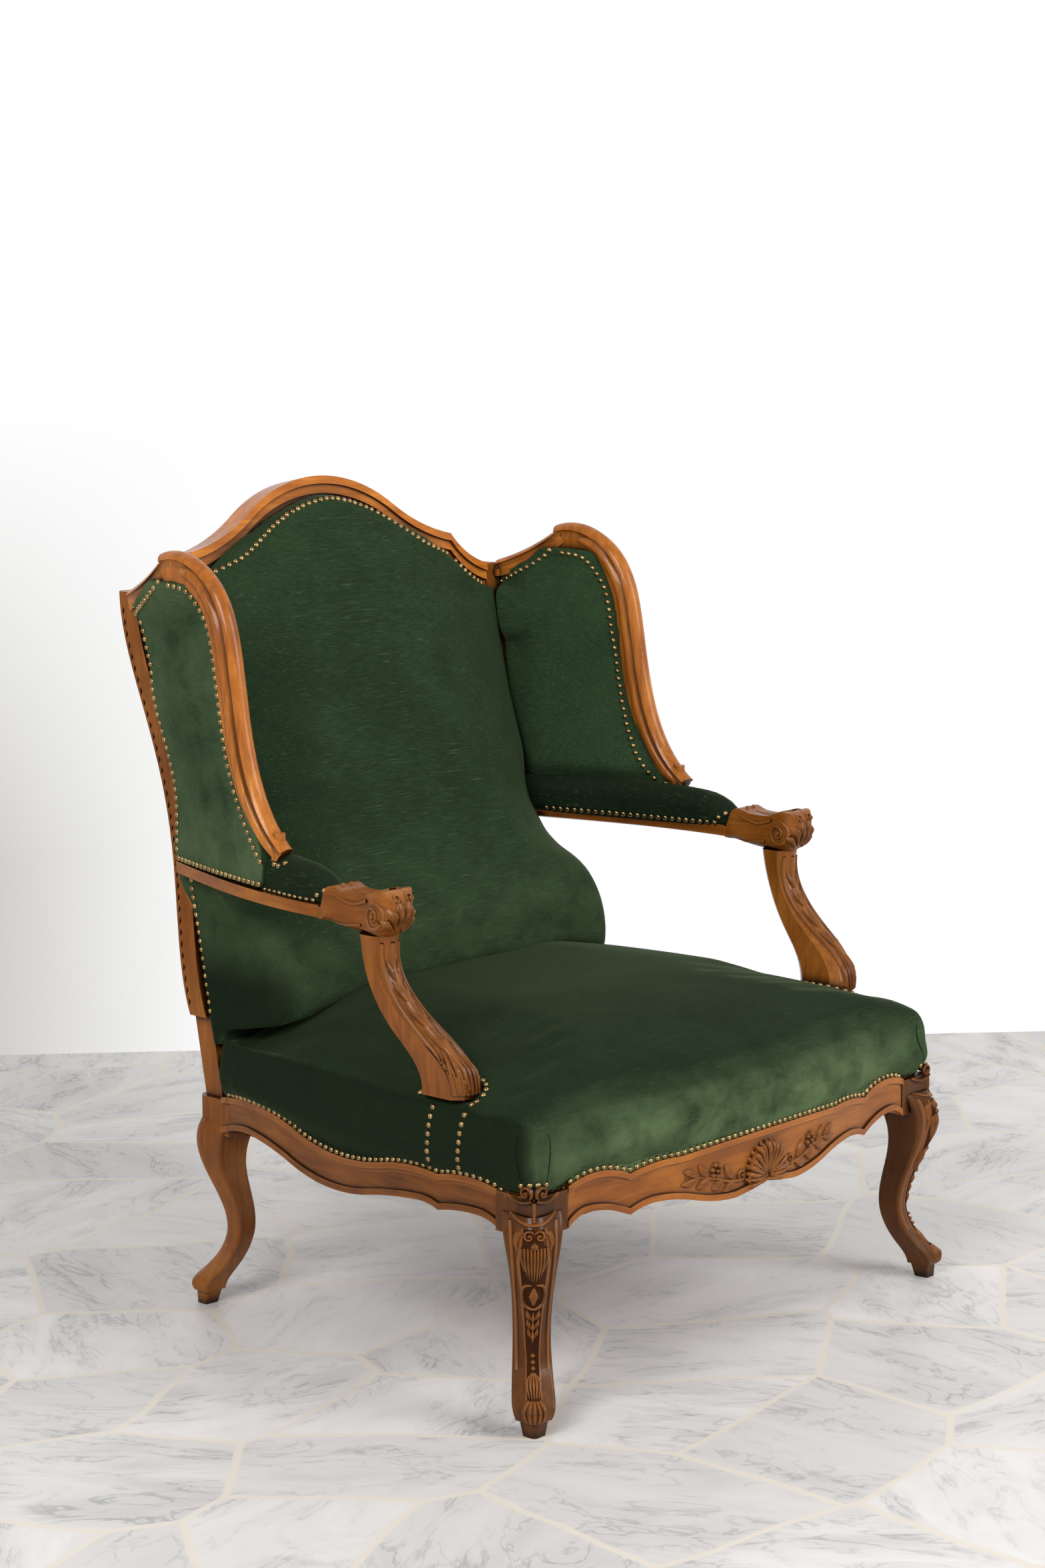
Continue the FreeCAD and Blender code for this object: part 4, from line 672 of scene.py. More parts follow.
class Carving:
    """A piece of carved ornament, gathered strip by strip."""

    def __init__(self, depth=1.0):
        self.depth = depth
        self.spots = []
        self.faces = []

    def stroke(self, face, line, widths, heights, form=round_form, step=2.2, lanes=6, flip=1):
        path = even_curve([(u * flip, v) for u, v in line], step)
        shares = np.linspace(0, 1, len(path))
        wide = np.interp(shares, np.linspace(0, 1, len(widths)), widths)
        high = np.interp(shares, np.linspace(0, 1, len(heights)), heights) * self.depth
        start = len(self.spots)
        for index, place in enumerate(path):
            run = path[min(index + 1, len(path) - 1)] - path[max(index - 1, 0)]
            run = run / max(np.linalg.norm(run), 1e-9)
            for lane in range(lanes + 1):
                t = -1 + 2 * lane / lanes
                u = place[0] - run[1] * t * wide[index] / 2
                v = place[1] + run[0] * t * wide[index] / 2
                point, out = face.at(u, v)
                self.spots.append(point + out * (high[index] * MM * form(t) - (SINK if abs(t) > 0.999 else 0)))
        row = lanes + 1
        for index in range(len(path) - 1):
            for lane in range(lanes):
                a = start + index * row + lane
                self.faces.append((a, a + 1, a + row + 1, a + row))

    def pair(self, *args, **settings):
        """The same stroke on both sides of the middle."""
        for flip in (1, -1):
            self.stroke(*args, flip=flip, **settings)

    def pearl(self, face, u, v, radius, height):
        widths = (0.2, 1.5 * radius, 2 * radius, 1.5 * radius, 0.2)
        heights = (0, height * 0.75, height, height * 0.75, 0)
        line = [(u, v - radius), (u, v), (u, v + radius)]
        self.stroke(face, line, widths, heights, step=radius * 0.34, lanes=8)

    def fan(self, face, hinge, radius, spread, ribs, height, foot=0.12):
        """Ribs of a shell, spread on both sides of a direction given as the middle angle."""
        middle, half = spread
        for share in np.linspace(-1, 1, ribs):
            angle = math.radians(middle + share * half)
            length = radius * (1 - 0.20 * share * share)
            run = (math.cos(angle), math.sin(angle))
            wide = 2 * length * math.sin(math.radians(half) / ribs) * 1.06
            line = [(hinge[0] + run[0] * length * part, hinge[1] + run[1] * length * part)
                    for part in (foot, 0.4, 0.7, 1.0)]
            self.stroke(face, line, (wide * foot, wide * 0.42, wide * 0.74, wide, wide * 0.25),
                        (height * 0.4, height * 0.8, height, height, 0.2))

    def volute(self, face, centre, radius, turns, start, width, height, hand=1, flip=1):
        line = []
        for step in range(int(turns * 10) + 1):
            share = step / (turns * 10)
            angle = math.radians(start) + hand * share * turns * 2 * math.pi
            reach = radius * (1 - 0.86 * share)
            line.append((centre[0] + reach * math.cos(angle), centre[1] + reach * math.sin(angle)))
        self.stroke(face, line, (width * 0.6, width, width * 0.8, width * 0.6),
                    (height * 0.6, height, height, height), step=1.4, flip=flip)
        self.pearl(face, centre[0] * flip, centre[1], radius * 0.24, height * 1.3)

    def piece(self, name, finish, slot="stained_beech"):
        found = new_piece(name, [tuple(p) for p in self.spots], self.faces)
        edit_whole(found, bpy.ops.mesh.normals_make_consistent, inside=False)
        bpy.ops.object.shade_smooth()
        return dressed(found, finish)


# Dome nails

def dome():
    """One nail head, a low dome with a slightly tucked rim, on the plane z = 0."""
    bpy.ops.mesh.primitive_uv_sphere_add(segments=10, ring_count=6, radius=1.0)
    head = bpy.context.object
    edit_whole(head, bpy.ops.mesh.bisect, plane_co=(0, 0, -0.2), plane_no=UP, clear_inner=True)
    spots = points_of(head)
    faces = [tuple(p.vertices) for p in head.data.polygons]
    bpy.data.objects.remove(head)
    return spots * (1, 1, 0.72), faces


HEAD_SPOTS, HEAD_FACES = dome()
NAIL_RADIUS = 0.0040
NAIL_PITCH = 0.0112
NAIL_RISE = 0.0028


def nailed(name, places):
    """Nails as one piece: each place is a point on the cloth and the way out of it."""
    spots, faces = [], []
    for point, out in places:
        turn = UP.rotation_difference(out).to_matrix()
        start = sum(len(s) for s in spots)
        spots.append((HEAD_SPOTS * NAIL_RADIUS) @ np.array(turn).T + np.array(point))
        faces += [tuple(start + i for i in face) for face in HEAD_FACES]
    piece = new_piece(name, np.vstack(spots).tolist(), faces)
    bpy.ops.object.shade_smooth()
    return dressed(piece, BRASS)


def evenly(line, pitch):
    """Points at an even pitch along a line of points."""
    line = [Vector(p) for p in line]
    lengths = [0.0]
    for a, b in zip(line, line[1:]):
        lengths.append(lengths[-1] + (b - a).length)
    count = max(2, round(lengths[-1] / pitch) + 1)
    found = []
    for step in range(count):
        goal = lengths[-1] * step / (count - 1)
        index = max(i for i in range(len(lengths) - 1) if lengths[i] <= goal + 1e-9)
        share = (goal - lengths[index]) / max(lengths[index + 1] - lengths[index], 1e-9)
        found.append(line[index].lerp(line[index + 1], share))
    return found


def on_cloth(tree, line, towards, pitch=NAIL_PITCH, reach=0.12):
    """Where nails at an even pitch along a line go in, looking a given way."""
    places = []
    way = Vector(towards).normalized()
    for point in evenly(line, pitch):
        hit, normal, _, _ = tree.ray_cast(point - way * reach, way, 2 * reach)
        if hit is not None:
            out = normal if normal.dot(way) < 0 else -normal
            places.append((hit, (out - way * 0.6).normalized()))
    return places


def heights_along(table):
    """A curve given as places and heights in millimetres, read in metres."""
    places, levels = zip(*sorted(table))
    return lambda place: float(np.interp(place / MM, places, levels)) * MM


FRONT_RAIL_TOP = heights_along([
    (0, 294), (32, 293), (76, 291), (118, 289), (158, 289), (197, 290), (224, 288), (243, 283), (263, 292),
    (280, 295), (302, 295), (323, 292), (344, 287), (362, 278), (378, 276), (393, 284), (404, 290)])
SIDE_RAIL_TOP = heights_along([
    (234, 281), (206, 289), (170, 293), (141, 293), (112, 288), (83, 281), (54, 272), (26, 266), (-2, 262),
    (-30, 263), (-57, 266), (-111, 273), (-164, 281), (-190, 281), (-215, 280), (-235, 282), (-266, 287),
    (-291, 288), (-315, 283), (-335, 276), (-354, 276), (-373, 286)])
CREST_TOP = heights_along([
    (0, 1080), (21, 1078), (52, 1072), (89, 1060), (122, 1045), (155, 1026), (188, 1007), (218, 996), (250, 985),
    (255, 978), (269, 964), (287, 952), (305, 944), (324, 942), (340, 942)])
WING_EDGE = [
    (31, 650), (40, 661), (58, 678), (76, 703), (90, 732), (100, 763), (107, 794), (112, 829), (118, 860),
    (123, 890), (129, 916), (138, 938), (153, 960), (171, 980), (192, 994), (216, 1002), (240, 1004),
    (272, 1001)]
WING_TOP_EDGE = [
    (272, 1001), (280, 993), (293, 979), (310, 968), (335, 956), (365, 943)]
WING_BAND = 0.043
TOP_BAND = 0.030
CREST_BAND = 0.0285
STILE_TUCK = 0.006
SHORT_REACH = 0.06


def moved_in(line, distance):
    """A line of places in millimetres, moved to its right-hand side by a distance in metres and given in metres."""
    found = []
    for index, (y, z) in enumerate(line):
        before = line[max(index - 1, 0)]
        after = line[min(index + 1, len(line) - 1)]
        run = Vector((after[0] - before[0], after[1] - before[1])).normalized()
        found.append((y * MM + run.y * distance, z * MM - run.x * distance))
    return found


EDGE_TUCK = 0.004


class RailEdge:
    """The outer top edge of a seat rail, found from outside and from above; beyond the rail's ends the edge runs
    on over the corner post at the heights of a table."""

    def __init__(self, node, axis, out, table, places, ends):
        tree = wood(node)
        self.axis = axis
        self.out = Vector(out)
        self.edge = []
        for place in places:
            start = Vector((0, 0, table(place) - 0.012))
            start[axis] = place
            face = tree.ray_cast(start + self.out * 0.7, -self.out, 0.8)[0]
            top = tree.ray_cast(Vector((*(face - self.out * 0.003).xy, 0.45)), -UP, 0.3)[0]
            self.edge.append((place, face[1 - axis], top.z))
        first, last = self.edge[0], self.edge[-1]
        self.edge += [(place, (first if place < first[0] else last)[1], table(place)) for place in ends]
        self.edge.sort()

    def at(self, u, v):
        places, depths, _ = zip(*self.edge)
        point = Vector((0, 0, v * MM))
        point[self.axis] = u * MM
        point[1 - self.axis] = float(np.interp(u * MM, places, depths))
        return point - self.out * EDGE_TUCK, self.out

    def row(self, rise):
        found = []
        for place, depth, top in self.edge:
            found.append((place, depth, top + rise) if self.axis == 0 else (depth, place, top + rise))
        return found


front_edge = RailEdge("front_seat_rail", 0, (0, -1, 0), lambda x: FRONT_RAIL_TOP(abs(x)),
                      np.linspace(-0.346, 0.346, 71), (-0.384, -0.372, -0.360, 0.360, 0.372, 0.384))
side_edges = {side: RailEdge("side_seat_rail_" + side, 1, (sign, 0, 0), SIDE_RAIL_TOP,
                             np.linspace(-0.318, 0.215, 55), (-0.365, -0.354, -0.342, -0.330))
              for side, sign in SIDES.items()}


def seat_edge():
    """The turned edge of the seat cover, lying on the rails behind the nails."""
    work = Carving()
    for rail in (front_edge, *side_edges.values()):
        line = [(place / MM, top / MM - 2.0) for place, _, top in rail.edge]
        work.stroke(rail, line, (24, 24), (4.4, 4.4), step=6)
    return work.piece("seat_cover_edge", VELVET["seat"], "velvet")


seat_tree = surface(seat, seat_edge())
back_tree = surface(back)


def side_row(x, row):
    return [(x, y, z) for y, z in row]


def seat_nails():
    """Along the rails, round the corners, up beside each support of the arms and round its foot, and on the
    sides of the back."""
    places = on_cloth(seat_tree, front_edge.row(NAIL_RISE), (0, 1, 0))
    for side, sign in SIDES.items():
        inward = (-sign, 0, 0)
        places += on_cloth(seat_tree, side_edges[side].row(NAIL_RISE), inward)
        corner = [(sign * 0.412, -0.366, 0.298), (sign * 0.404, -0.378, 0.300), (sign * 0.392, -0.386, 0.298)]
        places += on_cloth(seat_tree, corner, (-sign, 1, 0), 0.0100)
        for y, lean in ((-0.206, -0.008), (-0.258, -0.010)):
            places += on_cloth(seat_tree, side_row(sign * 0.41, [(y, 0.300), (y + lean, 0.376)]), inward)
        ring = [(sign * (0.380 + 0.034 * math.cos(a)), -0.226 + 0.046 * math.sin(a), 0.42)
                for a in np.linspace(math.radians(-80), math.radians(-280), 25)]
        places += on_cloth(seat_tree, ring, -UP)
        flank = [(back_face_y(z) - STILE_TUCK, z) for z in (0.40, 0.57)]
        places += on_cloth(back_tree, side_row(sign * 0.33, flank), inward)
    return places


def crest_nails():
    line = [(x, CREST_TOP(abs(x) * MM) / MM) for x in np.linspace(-312, 312, 105)]
    return on_cloth(back_tree, [(x, 0.30, z) for x, z in moved_in(line, CREST_BAND)], (0, 1, 0))


def wing_nails(side):
    """Round the outside of the wing's cover, and along its frame on the inside."""
    sign = SIDES[side]
    tree = surface(wings[side])
    edge = moved_in(WING_EDGE[1:-1], WING_BAND)
    top = moved_in(WING_TOP_EDGE[1:], TOP_BAND)
    stile = [(back_face_y(z) - STILE_TUCK, z) for z in (0.612, 0.76, 0.905)]
    arm = [(0.070, 0.6015), (0.285, 0.6015)]
    places = []
    for row in (edge, top, stile, arm):
        places += on_cloth(tree, side_row(sign * 0.39, row), (-sign, 0, 0))
    for row in (edge, top):
        places += on_cloth(tree, side_row(sign * 0.37, row), (sign, 0, 0), reach=SHORT_REACH)
    return places


def arm_nails(side):
    """Along both sides of the roll, up its end, and round the nose of the wing over it."""
    sign = SIDES[side]
    tree = surface(arms[side])
    places = []
    for way, rear in ((-sign, 0.066), (sign, 0.235)):
        foot = [(sign * float(arm_x(y)), y, 0.5945) for y in np.linspace(rear, -0.032, 12)]
        places += on_cloth(tree, foot, (way, 0, 0), reach=SHORT_REACH)
        heel = side_row(sign * 0.40, [(-0.038, 0.602), (-0.047, 0.608), (-0.052, 0.616)])
        places += on_cloth(tree, heel, (way, 0, 0), 0.0100, SHORT_REACH)
    nose = side_row(sign * 0.40, [(0.064, 0.640), (0.052, 0.629), (0.040, 0.627), (0.030, 0.632)])
    return places + on_cloth(tree, nose, (-sign, 0, 0), 0.0105, SHORT_REACH)


nail_places = seat_nails() + crest_nails()
for side in SIDES:
    nail_places += wing_nails(side) + arm_nails(side)
nailed("dome_nails", nail_places)


# Carved ornament

def rail_carving():
    """A shell in the middle of the front rail, a pair of scrolls under it and a spray to each side."""
    work = Carving(1.15)
    face = Face(wood("front_seat_rail"), (0, -0.40, 0), (1, 0, 0))
    work.fan(face, (0, 233), 48, (90, 100), 17, 4.2)
    work.pair(face, [(0, 230), (14, 228), (30, 230), (44, 238)], (4, 6, 6, 4), (2.5, 3.5, 3.5, 3))
    for flip in (1, -1):
        work.volute(face, (49, 245), 8, 1.4, 200, 3.6, 3.0, flip=flip)
    stem = [(52, 238), (74, 241), (98, 249), (124, 255), (150, 259)]
    work.pair(face, stem, (5, 4.5, 3.5, 2), (2.6, 2.4, 2.0, 0.8))
    for root, tip, wide in (
            ((62, 240), (84, 229), 10), ((66, 243), (80, 264), 11), ((84, 245), (104, 236), 10),
            ((108, 252), (132, 243), 10), ((112, 254), (128, 272), 9), ((128, 256), (158, 252), 8),
            ((130, 258), (154, 268), 8)):
        bent = ((root[0] + tip[0]) / 2 + 3, (root[1] + tip[1]) / 2 + (2 if tip[1] > root[1] else -2))
        work.pair(face, [root, bent, tip], (2.5, wide * 1.4, wide * 1.2, 1.0), (1.6, 4.2, 3.6, 0.8), leaf_form)
    for flip in (1, -1):
        for petal in range(6):
            angle = math.radians(60 * petal + 15)
            work.pearl(face, flip * (97 + 7.2 * math.cos(angle)), 259 + 7.2 * math.sin(angle), 4.6, 4.4)
        work.pearl(face, flip * 97, 259, 3.8, 6.0)
    # Painted shade: the carving is darker than the rail under it.
    return work.piece("front_rail_carving", beech("X", 0.9))


def corner_face(sign, tree):
    """The corner of the seat, seen slantwise."""
    return Face(tree, (sign * RAIL_CORNER[0], RAIL_CORNER[1], 0), (1, sign, 0), reach=0.07)


def knee_carving(side):
    """The knee: a scroll pair at the corner, a collar, a fluted drop, a cartouche, leaves and pearls."""
    sign = SIDES[side]
    x, y = sign * RAIL_CORNER[0], RAIL_CORNER[1]
    work = Carving(1.25)
    face = corner_face(sign, wood("front_leg_" + side, "front_seat_rail", "side_seat_rail_" + side))
    front = Face(None, (x, y - 0.001, 0), (1, 0, 0))
    flank = Face(None, (x + sign * 0.001, y, 0), (0, sign, 0))
    for plane, inward in ((front, -sign), (flank, sign)):
        work.volute(plane, (10.5, 290), 9.0, 1.35, 215, 4.4, 4.2, -1, inward)
        work.stroke(plane, [(0.5, 283), (8, 279.5), (20, 278), (31, 280), (42, 284)], (4, 5, 5, 4.5, 3),
                    (3, 3.6, 3.4, 2.6, 1.0), flip=inward)
    for flip in (1, -1):
        work.volute(face, (6.2, 242), 6.4, 1.3, 150, 3.2, 3.0, -1, flip=flip)
    work.stroke(face, [(0, 280), (0, 270), (0, 257)], (3, 4, 3), (2.0, 2.4, 1.6))
    work.pair(face, [(0, 254), (10, 255), (19, 258), (27, 264)], (4, 4, 3.5, 2), (2.4, 2.4, 2.2, 1.2))
    work.pair(face, [(12, 246), (18, 242), (21, 232), (19, 222)], (2, 7, 6, 1), (1, 2.6, 2.2, 0.4), leaf_form)
    for share in np.linspace(-1, 1, 9):
        low = 187 + 12 * share * share
        work.stroke(face, [(15 * share, 230 - 2 * share * share), (13.5 * share, 214), (10.5 * share, low)],
                    (2.6, 4.0, 3.6, 1.0), (2.0, 3.6, 3.0, 0.6))
    work.pearl(face, 0, 231, 5, 3.6)
    work.pair(face, [(3, 182), (10, 180), (13, 170), (11, 156), (4, 149), (0, 148)], (2, 4, 4.5, 4.5, 4, 3),
              (1.6, 3, 3.2, 3.2, 3, 2))
    work.stroke(face, [(0, 178), (0, 166), (0, 153)], (3, 13, 3), (0.5, 2.4, 0.5))
    for low, wide in ((144, 9), (132, 8), (120, 6.5)):
        line = [(0.6, low - 12), (wide * 0.62, low - 5), (wide * 0.8, low + 2)]
        work.pair(face, line, (1.5, wide * 0.7, 1.0), (1.4, 3.0, 0.6), leaf_form)
        work.stroke(face, [(0, low), (0, low - 8), (0, low - 17)], (1.0, 4.6, 1.0), (0.8, 3.2, 0.8))
    for level in (88, 81, 74.5):
        work.pearl(face, 0, level, 3.1, 3.4)
    for share in np.linspace(-1, 1, 5):
        line = [(1.5 * share, 70), (7.5 * share, 60), (5.5 * share, 46)]
        work.stroke(face, line, (1.6, 4.4, 1.0), (1.2, 2.6, 0.5))
    for share in np.linspace(-1, 1, 5):
        work.stroke(face, [(6 * share, 44), (12 * share, 33), (9 * share, 20)], (2.5, 6.0, 2.0), (1.2, 3.4, 0.8))
    work.pair(face, [(27, 255), (25.5, 225), (23, 190), (20, 150), (18.5, 115), (18.5, 90), (19, 70)],
              (4.2, 4.4, 4.2, 4, 3.8), (1.7, 1.9, 1.8, 1.6, 1.2), step=4)
    # At the front leg's lightness, which is painted dark as shade.
    return work.piece("knee_carving_" + side, beech("Z", 0.40))


def knee_ground(side):
    """The sunk ground behind the carving of the knee and shin, dark with glaze and painted shade."""
    work = Carving()
    face = corner_face(SIDES[side], wood("front_leg_" + side))
    line = [(0, level) for level in (250, 215, 170, 120, 78, 44)]
    work.stroke(face, line, (30, 40, 30, 22, 17, 20), (0.3, 0.4, 0.4, 0.3), lanes=10, step=4)
    return work.piece("knee_ground_" + side, GROUND)


def hand_carving(side):
    """The hand: a volute on each cheek, a leaf over the top, a gadrooned front and two berries at the heel."""
    sign = SIDES[side]
    work = Carving()
    tree = wood("arm_rail_" + side)
    middle = sign * 0.401
    for way in (1, -1):
        cheek = Face(tree, (sign * 0.40 + way * 0.03, 0, 0), (0, way, 0), reach=0.05)
        work.volute(cheek, (-141 * way, 590), 19, 1.75, 100 if way > 0 else 80, 5.0, 2.6, way)
        work.stroke(cheek, [(-128 * way, 607), (-104 * way, 600), (-84 * way, 604), (-70 * way, 610)],
                    (5, 4.5, 4, 2), (2.4, 2.0, 1.8, 0.8))
        work.stroke(cheek, [(-116 * way, 576), (-100 * way, 574), (-80 * way, 572), (-62 * way, 574)],
                    (4, 4, 3.5, 2), (1.8, 1.8, 1.6, 0.8))
    front = Face(tree, (middle, -0.20, 0), (1, 0, 0), reach=0.05)
    work.fan(front, (0, 564), 46, (90, 50), 6, 4.6, 0.25)
    for flip in (1, -1):
        work.volute(front, (11, 612), 6.0, 1.2, 220, 3.4, 3.0, -1, flip=flip)
    top = Face(tree, (middle, 0, 0.64), (1, 0, 0), (0, 1, 0), 0.05)
    line = [(0, -150), (0, -128), (0, -104), (0, -84)]
    work.stroke(top, line, (14, 22, 16, 3), (2.2, 2.8, 2.4, 0.8), leaf_form, lanes=10)
    work.pair(top, [(9, -154), (15, -140), (14, -122), (8, -108)], (2, 7, 6, 1), (1, 2.6, 2.2, 0.5), leaf_form)
    for place in (-7, 7):
        work.pearl(top, place, -74, 4.0, 3.4)
    # Painted shade: the hand is darker than the arm it is carved on.
    return work.piece("hand_carving_" + side, beech("Y", 0.65))


def support_carving(side):
    """The arm's support: a bead on each edge of its front, a round between them, and a leaf at its foot."""
    sign = SIDES[side]
    work = Carving(1.5)
    face = Face(wood("arm_support_" + side), (sign * 0.390, -0.30, 0), (1, 0, 0), reach=0.10)
    lean = sign * 10

    def centre(level):
        share = (level - 385) / 170
        return lean * math.sin(math.radians(90 * min(1.0, max(0.0, share))))

    levels = (392, 420, 450, 480, 510, 540, 556)
    for place, wide in ((-15.5, 6), (15.5, 6), (0, 12)):
        line = [(centre(level) + place * (1.12 - 0.22 * (level - 392) / 164), level) for level in levels]
        work.stroke(face, line, (wide, wide, wide * 0.9, wide * 0.75), (2.4, 2.6, 2.4, 1.6), step=4)
    for share in np.linspace(-1, 1, 7):
        tip = (11 * share + centre(440), 446 - 12 * abs(share))
        line = [(16 * share, 386), (17 * share + centre(410), 414), tip]
        work.stroke(face, line, (4, 6.4, 1.2), (2.6, 4.6, 1.0), leaf_form)
    for level in (446, 472, 498, 522):
        for way in (1, -1):
            leaf = ((1.5, -14), (6, 0), (9.5, 13))
            line = [(centre(level) + aside * way, level + rise) for aside, rise in leaf]
            work.stroke(face, line, (2, 7.5, 1), (1.2, 3.6, 0.6), leaf_form)
    # Painted shade: the carving is darker than the support under it.
    return work.piece("support_carving_" + side, beech("Z", 0.65))


NOTCH_BEHIND = 0.040 - 0.0125


def stile_notches(side):
    """Gouge cuts down the outer edge of each upright of the back, dark with glaze and painted shade."""
    sign = SIDES[side]
    work = Carving()
    face = Face(wood("rear_post_" + side), (sign * 0.40, 0, 0), (0, sign, 0), reach=0.10)
    for level in np.arange(404, 926, 15.0):
        rear = (back_face_y(level * MM) + NOTCH_BEHIND) / MM * sign
        line = [(rear, level), (rear - 1.5 * sign, level + 4.5), (rear, level + 9)]
        work.stroke(face, line, (2.4, 5.2, 1.2), (0.3, 0.9, 0.2), lanes=4)
    return work.piece("upright_notches_" + side, GOUGE)


def wing_faces(side):
    """Both sides of a wing's frame, each with the way it looks."""
    sign = SIDES[side]
    for way in (sign, -sign):
        yield Face(wood("wing_upright_" + side), (sign * 0.39 + way * 0.04, 0, 0), (0, way, 0), reach=0.05), way


def beside_edge(line, distance, way):
    return [(y / MM * way, z / MM) for y, z in moved_in(line, distance)]


def wing_moulding(side):
    """The quirks beside the bead on the wing's frame, dark with glaze and painted shade."""
    work = Carving()
    for face, way in wing_faces(side):
        for distance, wide in ((0.0125, 1.5), (0.0300, 1.8)):
            line = beside_edge(WING_EDGE[2:-2], distance, way)
            widths = (wide * 0.5, wide, wide, wide * 0.5)
            work.stroke(face, line, widths, (0.25, 0.35, 0.35, 0.25), lanes=2, step=6)
    return work.piece("wing_quirks_" + side, GOUGE)


def wing_bead(side):
    """The fat bead along the wing's frame, with its rounded end over the arm."""
    work = Carving()
    for face, way in wing_faces(side):
        line = beside_edge(WING_EDGE[:-2], 0.0212, way)
        full = len(line) * 2
        widths = [3, 12] + [14.5] * full + [8]
        work.stroke(face, line, widths, [0.8, 3.4] + [4.2] * full + [1.5], step=5, lanes=8)
    # At the wing's lightness, which is painted light.
    return work.piece("wing_bead_" + side, beech("Z", 1.65))


rail_carving()
for side in SIDES:
    wing_moulding(side)
    wing_bead(side)
    knee_ground(side)
    knee_carving(side)
    hand_carving(side)
    support_carving(side)
    stile_notches(side)


def corner_seams():
    """Seams in the cover at the front corners of the seat, drawn as dark lines of painted shade in their folds."""
    work = Carving()
    for sign in SIDES.values():
        line = [(15, 302), (19, 325), (20, 345), (17, 358)]
        work.pair(corner_face(sign, seat_tree), line, (1.2, 2.0, 2.0, 0.8), (0.3, 0.5, 0.5, 0.2), lanes=4)
    return work.piece("seat_corner_seams", SEAM_SHADE, "velvet")


corner_seams()


# Camera, light and stage

def stage_plane(name, width, depth):
    bpy.ops.mesh.primitive_plane_add(size=1)
    piece = bpy.context.object
    piece.name = name
    edit_whole(piece, bpy.ops.transform.resize, value=(width, depth, 1))
    return piece


def marble_paving():
    """Broken pieces of pale marble with light joints."""
    stone = Finish("marble_paving")
    bent = stone.add("TexNoise", {"Vector": stone.place((2.5, 2.5, 2.5)), "Scale": 1.0, "Detail": 2.0}, "Color")
    where = stone.add("VectorMath", {0: bent, 1: (0.30, 0.30, 0), 2: stone.place((3.3, 4.2, 0))},
                      operation="MULTIPLY_ADD")
    cells = {"Vector": where, "Scale": 1.0}
    joint = stone.add("TexVoronoi", cells, "Distance", feature="DISTANCE_TO_EDGE", voronoi_dimensions="2D")
    slab = stone.add("TexVoronoi", cells, "Color", voronoi_dimensions="2D")
    grey = stone.add("RGBToBW", {0: slab})
    turned = stone.add("VectorRotate", {"Vector": stone.place(), "Angle": grey * 19.0}, rotation_type="Z_AXIS")
    laid = stone.add("VectorMath", {0: turned, 1: (3.5, 9.0, 1.0), 2: slab}, operation="MULTIPLY_ADD")
    cloud = stone.noise_at(laid, 1.0, 6.0, 0.62, 0.8)
    line = stone.noise_at(laid, 1.9, 5.0, 0.55, 1.6)
    vein = stone.levels(line, 0.465, 0.50) * stone.levels(line, 0.535, 0.50)
    pale = stone.ramp(cloud, (0.30, (0.58, 0.57, 0.56)), (0.50, (0.74, 0.72, 0.70)), (0.70, (0.82, 0.80, 0.78)))
    toned = stone.blended(stone.levels(grey, 0.35, 0.75) * 0.45, pale, (0.58, 0.565, 0.55))
    veined = stone.blended(vein * stone.levels(cloud, 0.58, 0.36) * 0.75, toned, (0.34, 0.34, 0.35))
    jointed = stone.blended(stone.levels(joint, 0.024, 0.013) * 0.9, veined, (0.76, 0.70, 0.61))
    return stone.set(Base_Color=jointed, Roughness=0.42, Specular_IOR_Level=0.3)


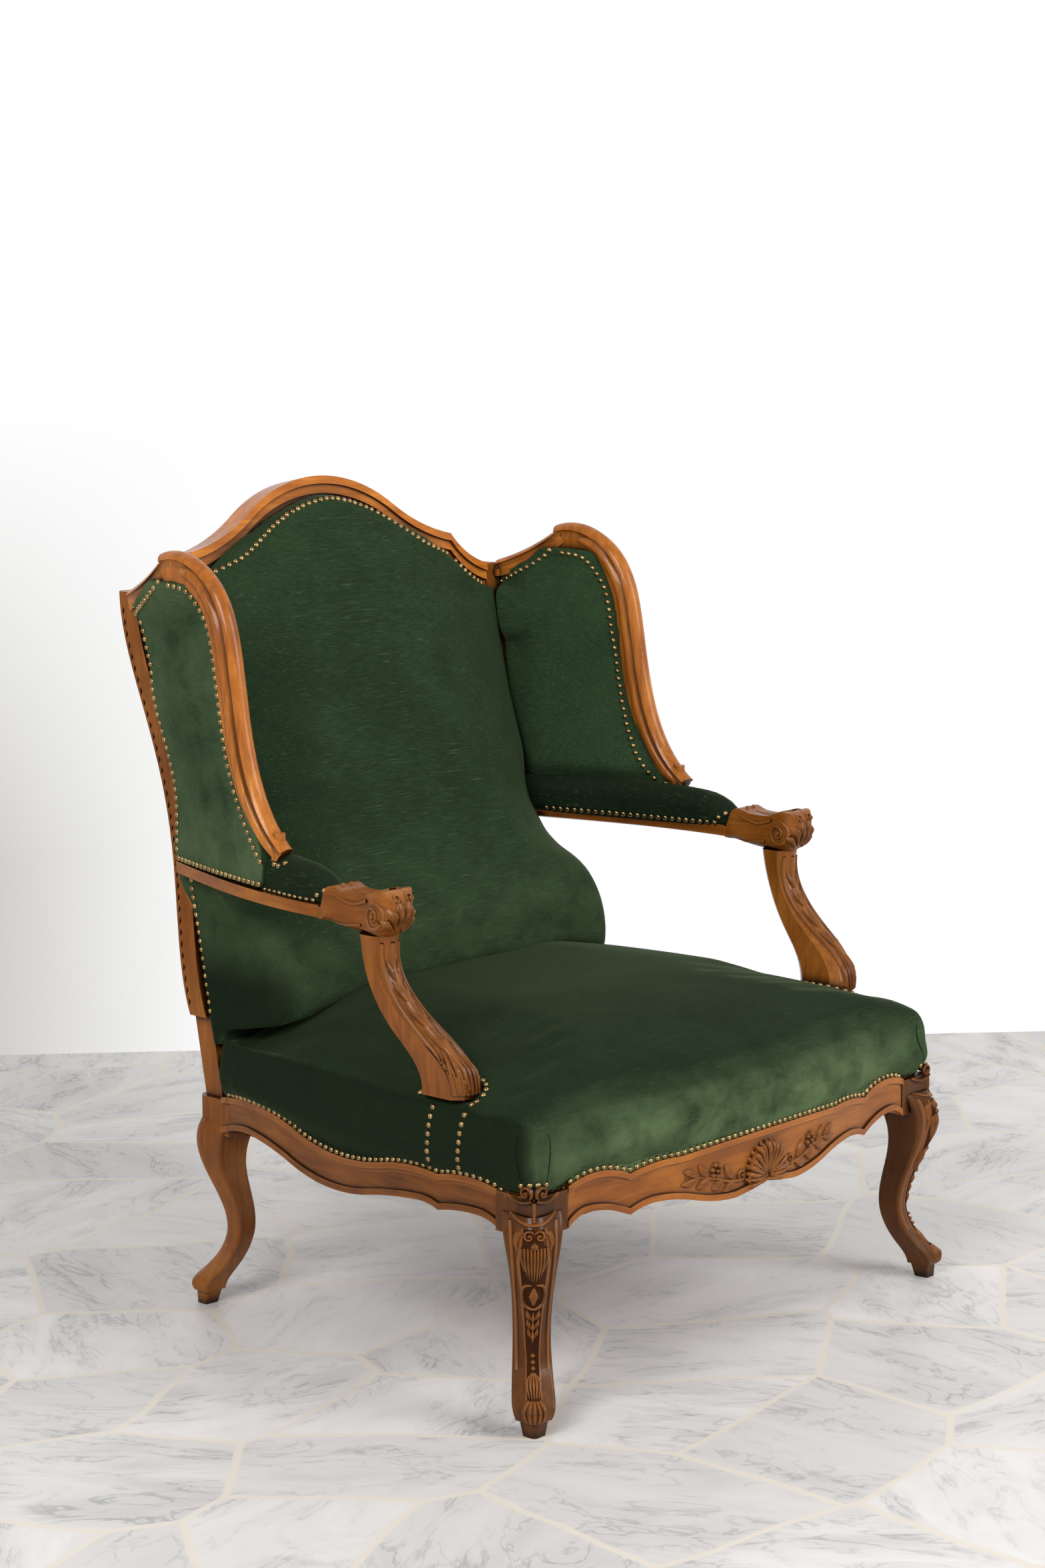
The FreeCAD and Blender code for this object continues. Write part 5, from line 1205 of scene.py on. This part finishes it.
def white_wall():
    """A white wall that glows for camera, glossy and transmission rays, with painted shade towards its lower left,
    and is lit as a plain wall for other rays.
    """
    wall = Finish("white_wall")
    wall.set(Base_Color=(0.82, 0.82, 0.83), Roughness=0.9)
    camera, glossy, through = (wall.add("LightPath", output=f"Is {ray} Ray")
                               for ray in ("Camera", "Glossy", "Transmission"))
    beside = wall.along("X") * 0.664 + wall.along("Y") * -0.748
    # Painted shade: the glow is darker towards the lower left of the wall.
    painted_wall_shade = wall.levels(beside, -0.52, -0.98) * wall.levels(wall.along("Z"), 1.15, 0.35)
    white = wall.blended(painted_wall_shade, (1, 1, 1), (0.60, 0.585, 0.56))
    glow = wall.add("Emission", {"Color": white, "Strength": 1.0})
    lit = Wire(wall, wall.shader.outputs[0])
    both = wall.add("MixShader", {0: camera + glossy + through, 1: lit, 2: glow})
    wall.join(wall.tree.nodes["Material Output"].inputs["Surface"], both)
    return wall.material


CAMERA_PLACE = (-2.926, -2.600, 1.275)
VIEW_YAW = math.radians(48.39)
VIEW_DOWN = math.radians(8.53)
FOCAL_SHARE = 4500 / 2352
SENSOR = 36
WALL_AWAY = 1.41
WALL_TURN = math.radians(5.6)


def set_stage():
    floor = stage_plane("floor", 14, 14)
    floor.data.materials.append(marble_paving())
    wall = stage_plane("wall", 16, 8)
    ahead = Vector((math.sin(VIEW_YAW), math.cos(VIEW_YAW), 0))
    upright = Matrix.Rotation(math.radians(90), 4, "X")
    turned = Matrix.Rotation(WALL_TURN - VIEW_YAW, 4, "Z")
    wall.data.transform(Matrix.Translation(ahead * WALL_AWAY + UP * 4) @ turned @ upright)
    wall.data.materials.append(white_wall())


def set_camera():
    lens = bpy.data.cameras.new("camera")
    lens.sensor_fit = "VERTICAL"
    lens.sensor_height = SENSOR
    lens.lens = FOCAL_SHARE * SENSOR
    camera = linked("camera", lens)
    camera.location = CAMERA_PLACE
    camera.rotation_euler = (math.radians(90) - VIEW_DOWN, 0, -VIEW_YAW)
    bpy.context.scene.camera = camera


def lamp(name, place, target, size, power):
    light = bpy.data.lights.new(name, "AREA")
    light.size = size
    light.energy = power
    piece = linked(name, light)
    piece.location = place
    piece.rotation_euler = (Vector(target) - Vector(place)).to_track_quat("-Z", "Y").to_euler()


set_stage()
set_camera()
lamp("window", (-3.4, -0.9, 2.7), (0, 0, 0.5), 1.6, 88)
lamp("front", (0.9, -3.4, 2.4), (0, 0, 0.4), 2.0, 92)
world = bpy.data.worlds.new("room")
world.use_nodes = True
sky = world.node_tree.nodes["Background"].inputs
sky["Color"].default_value = (1, 1, 1, 1)
sky["Strength"].default_value = 0.42
bpy.context.scene.world = world
bpy.context.scene.view_settings.view_transform = "Standard"
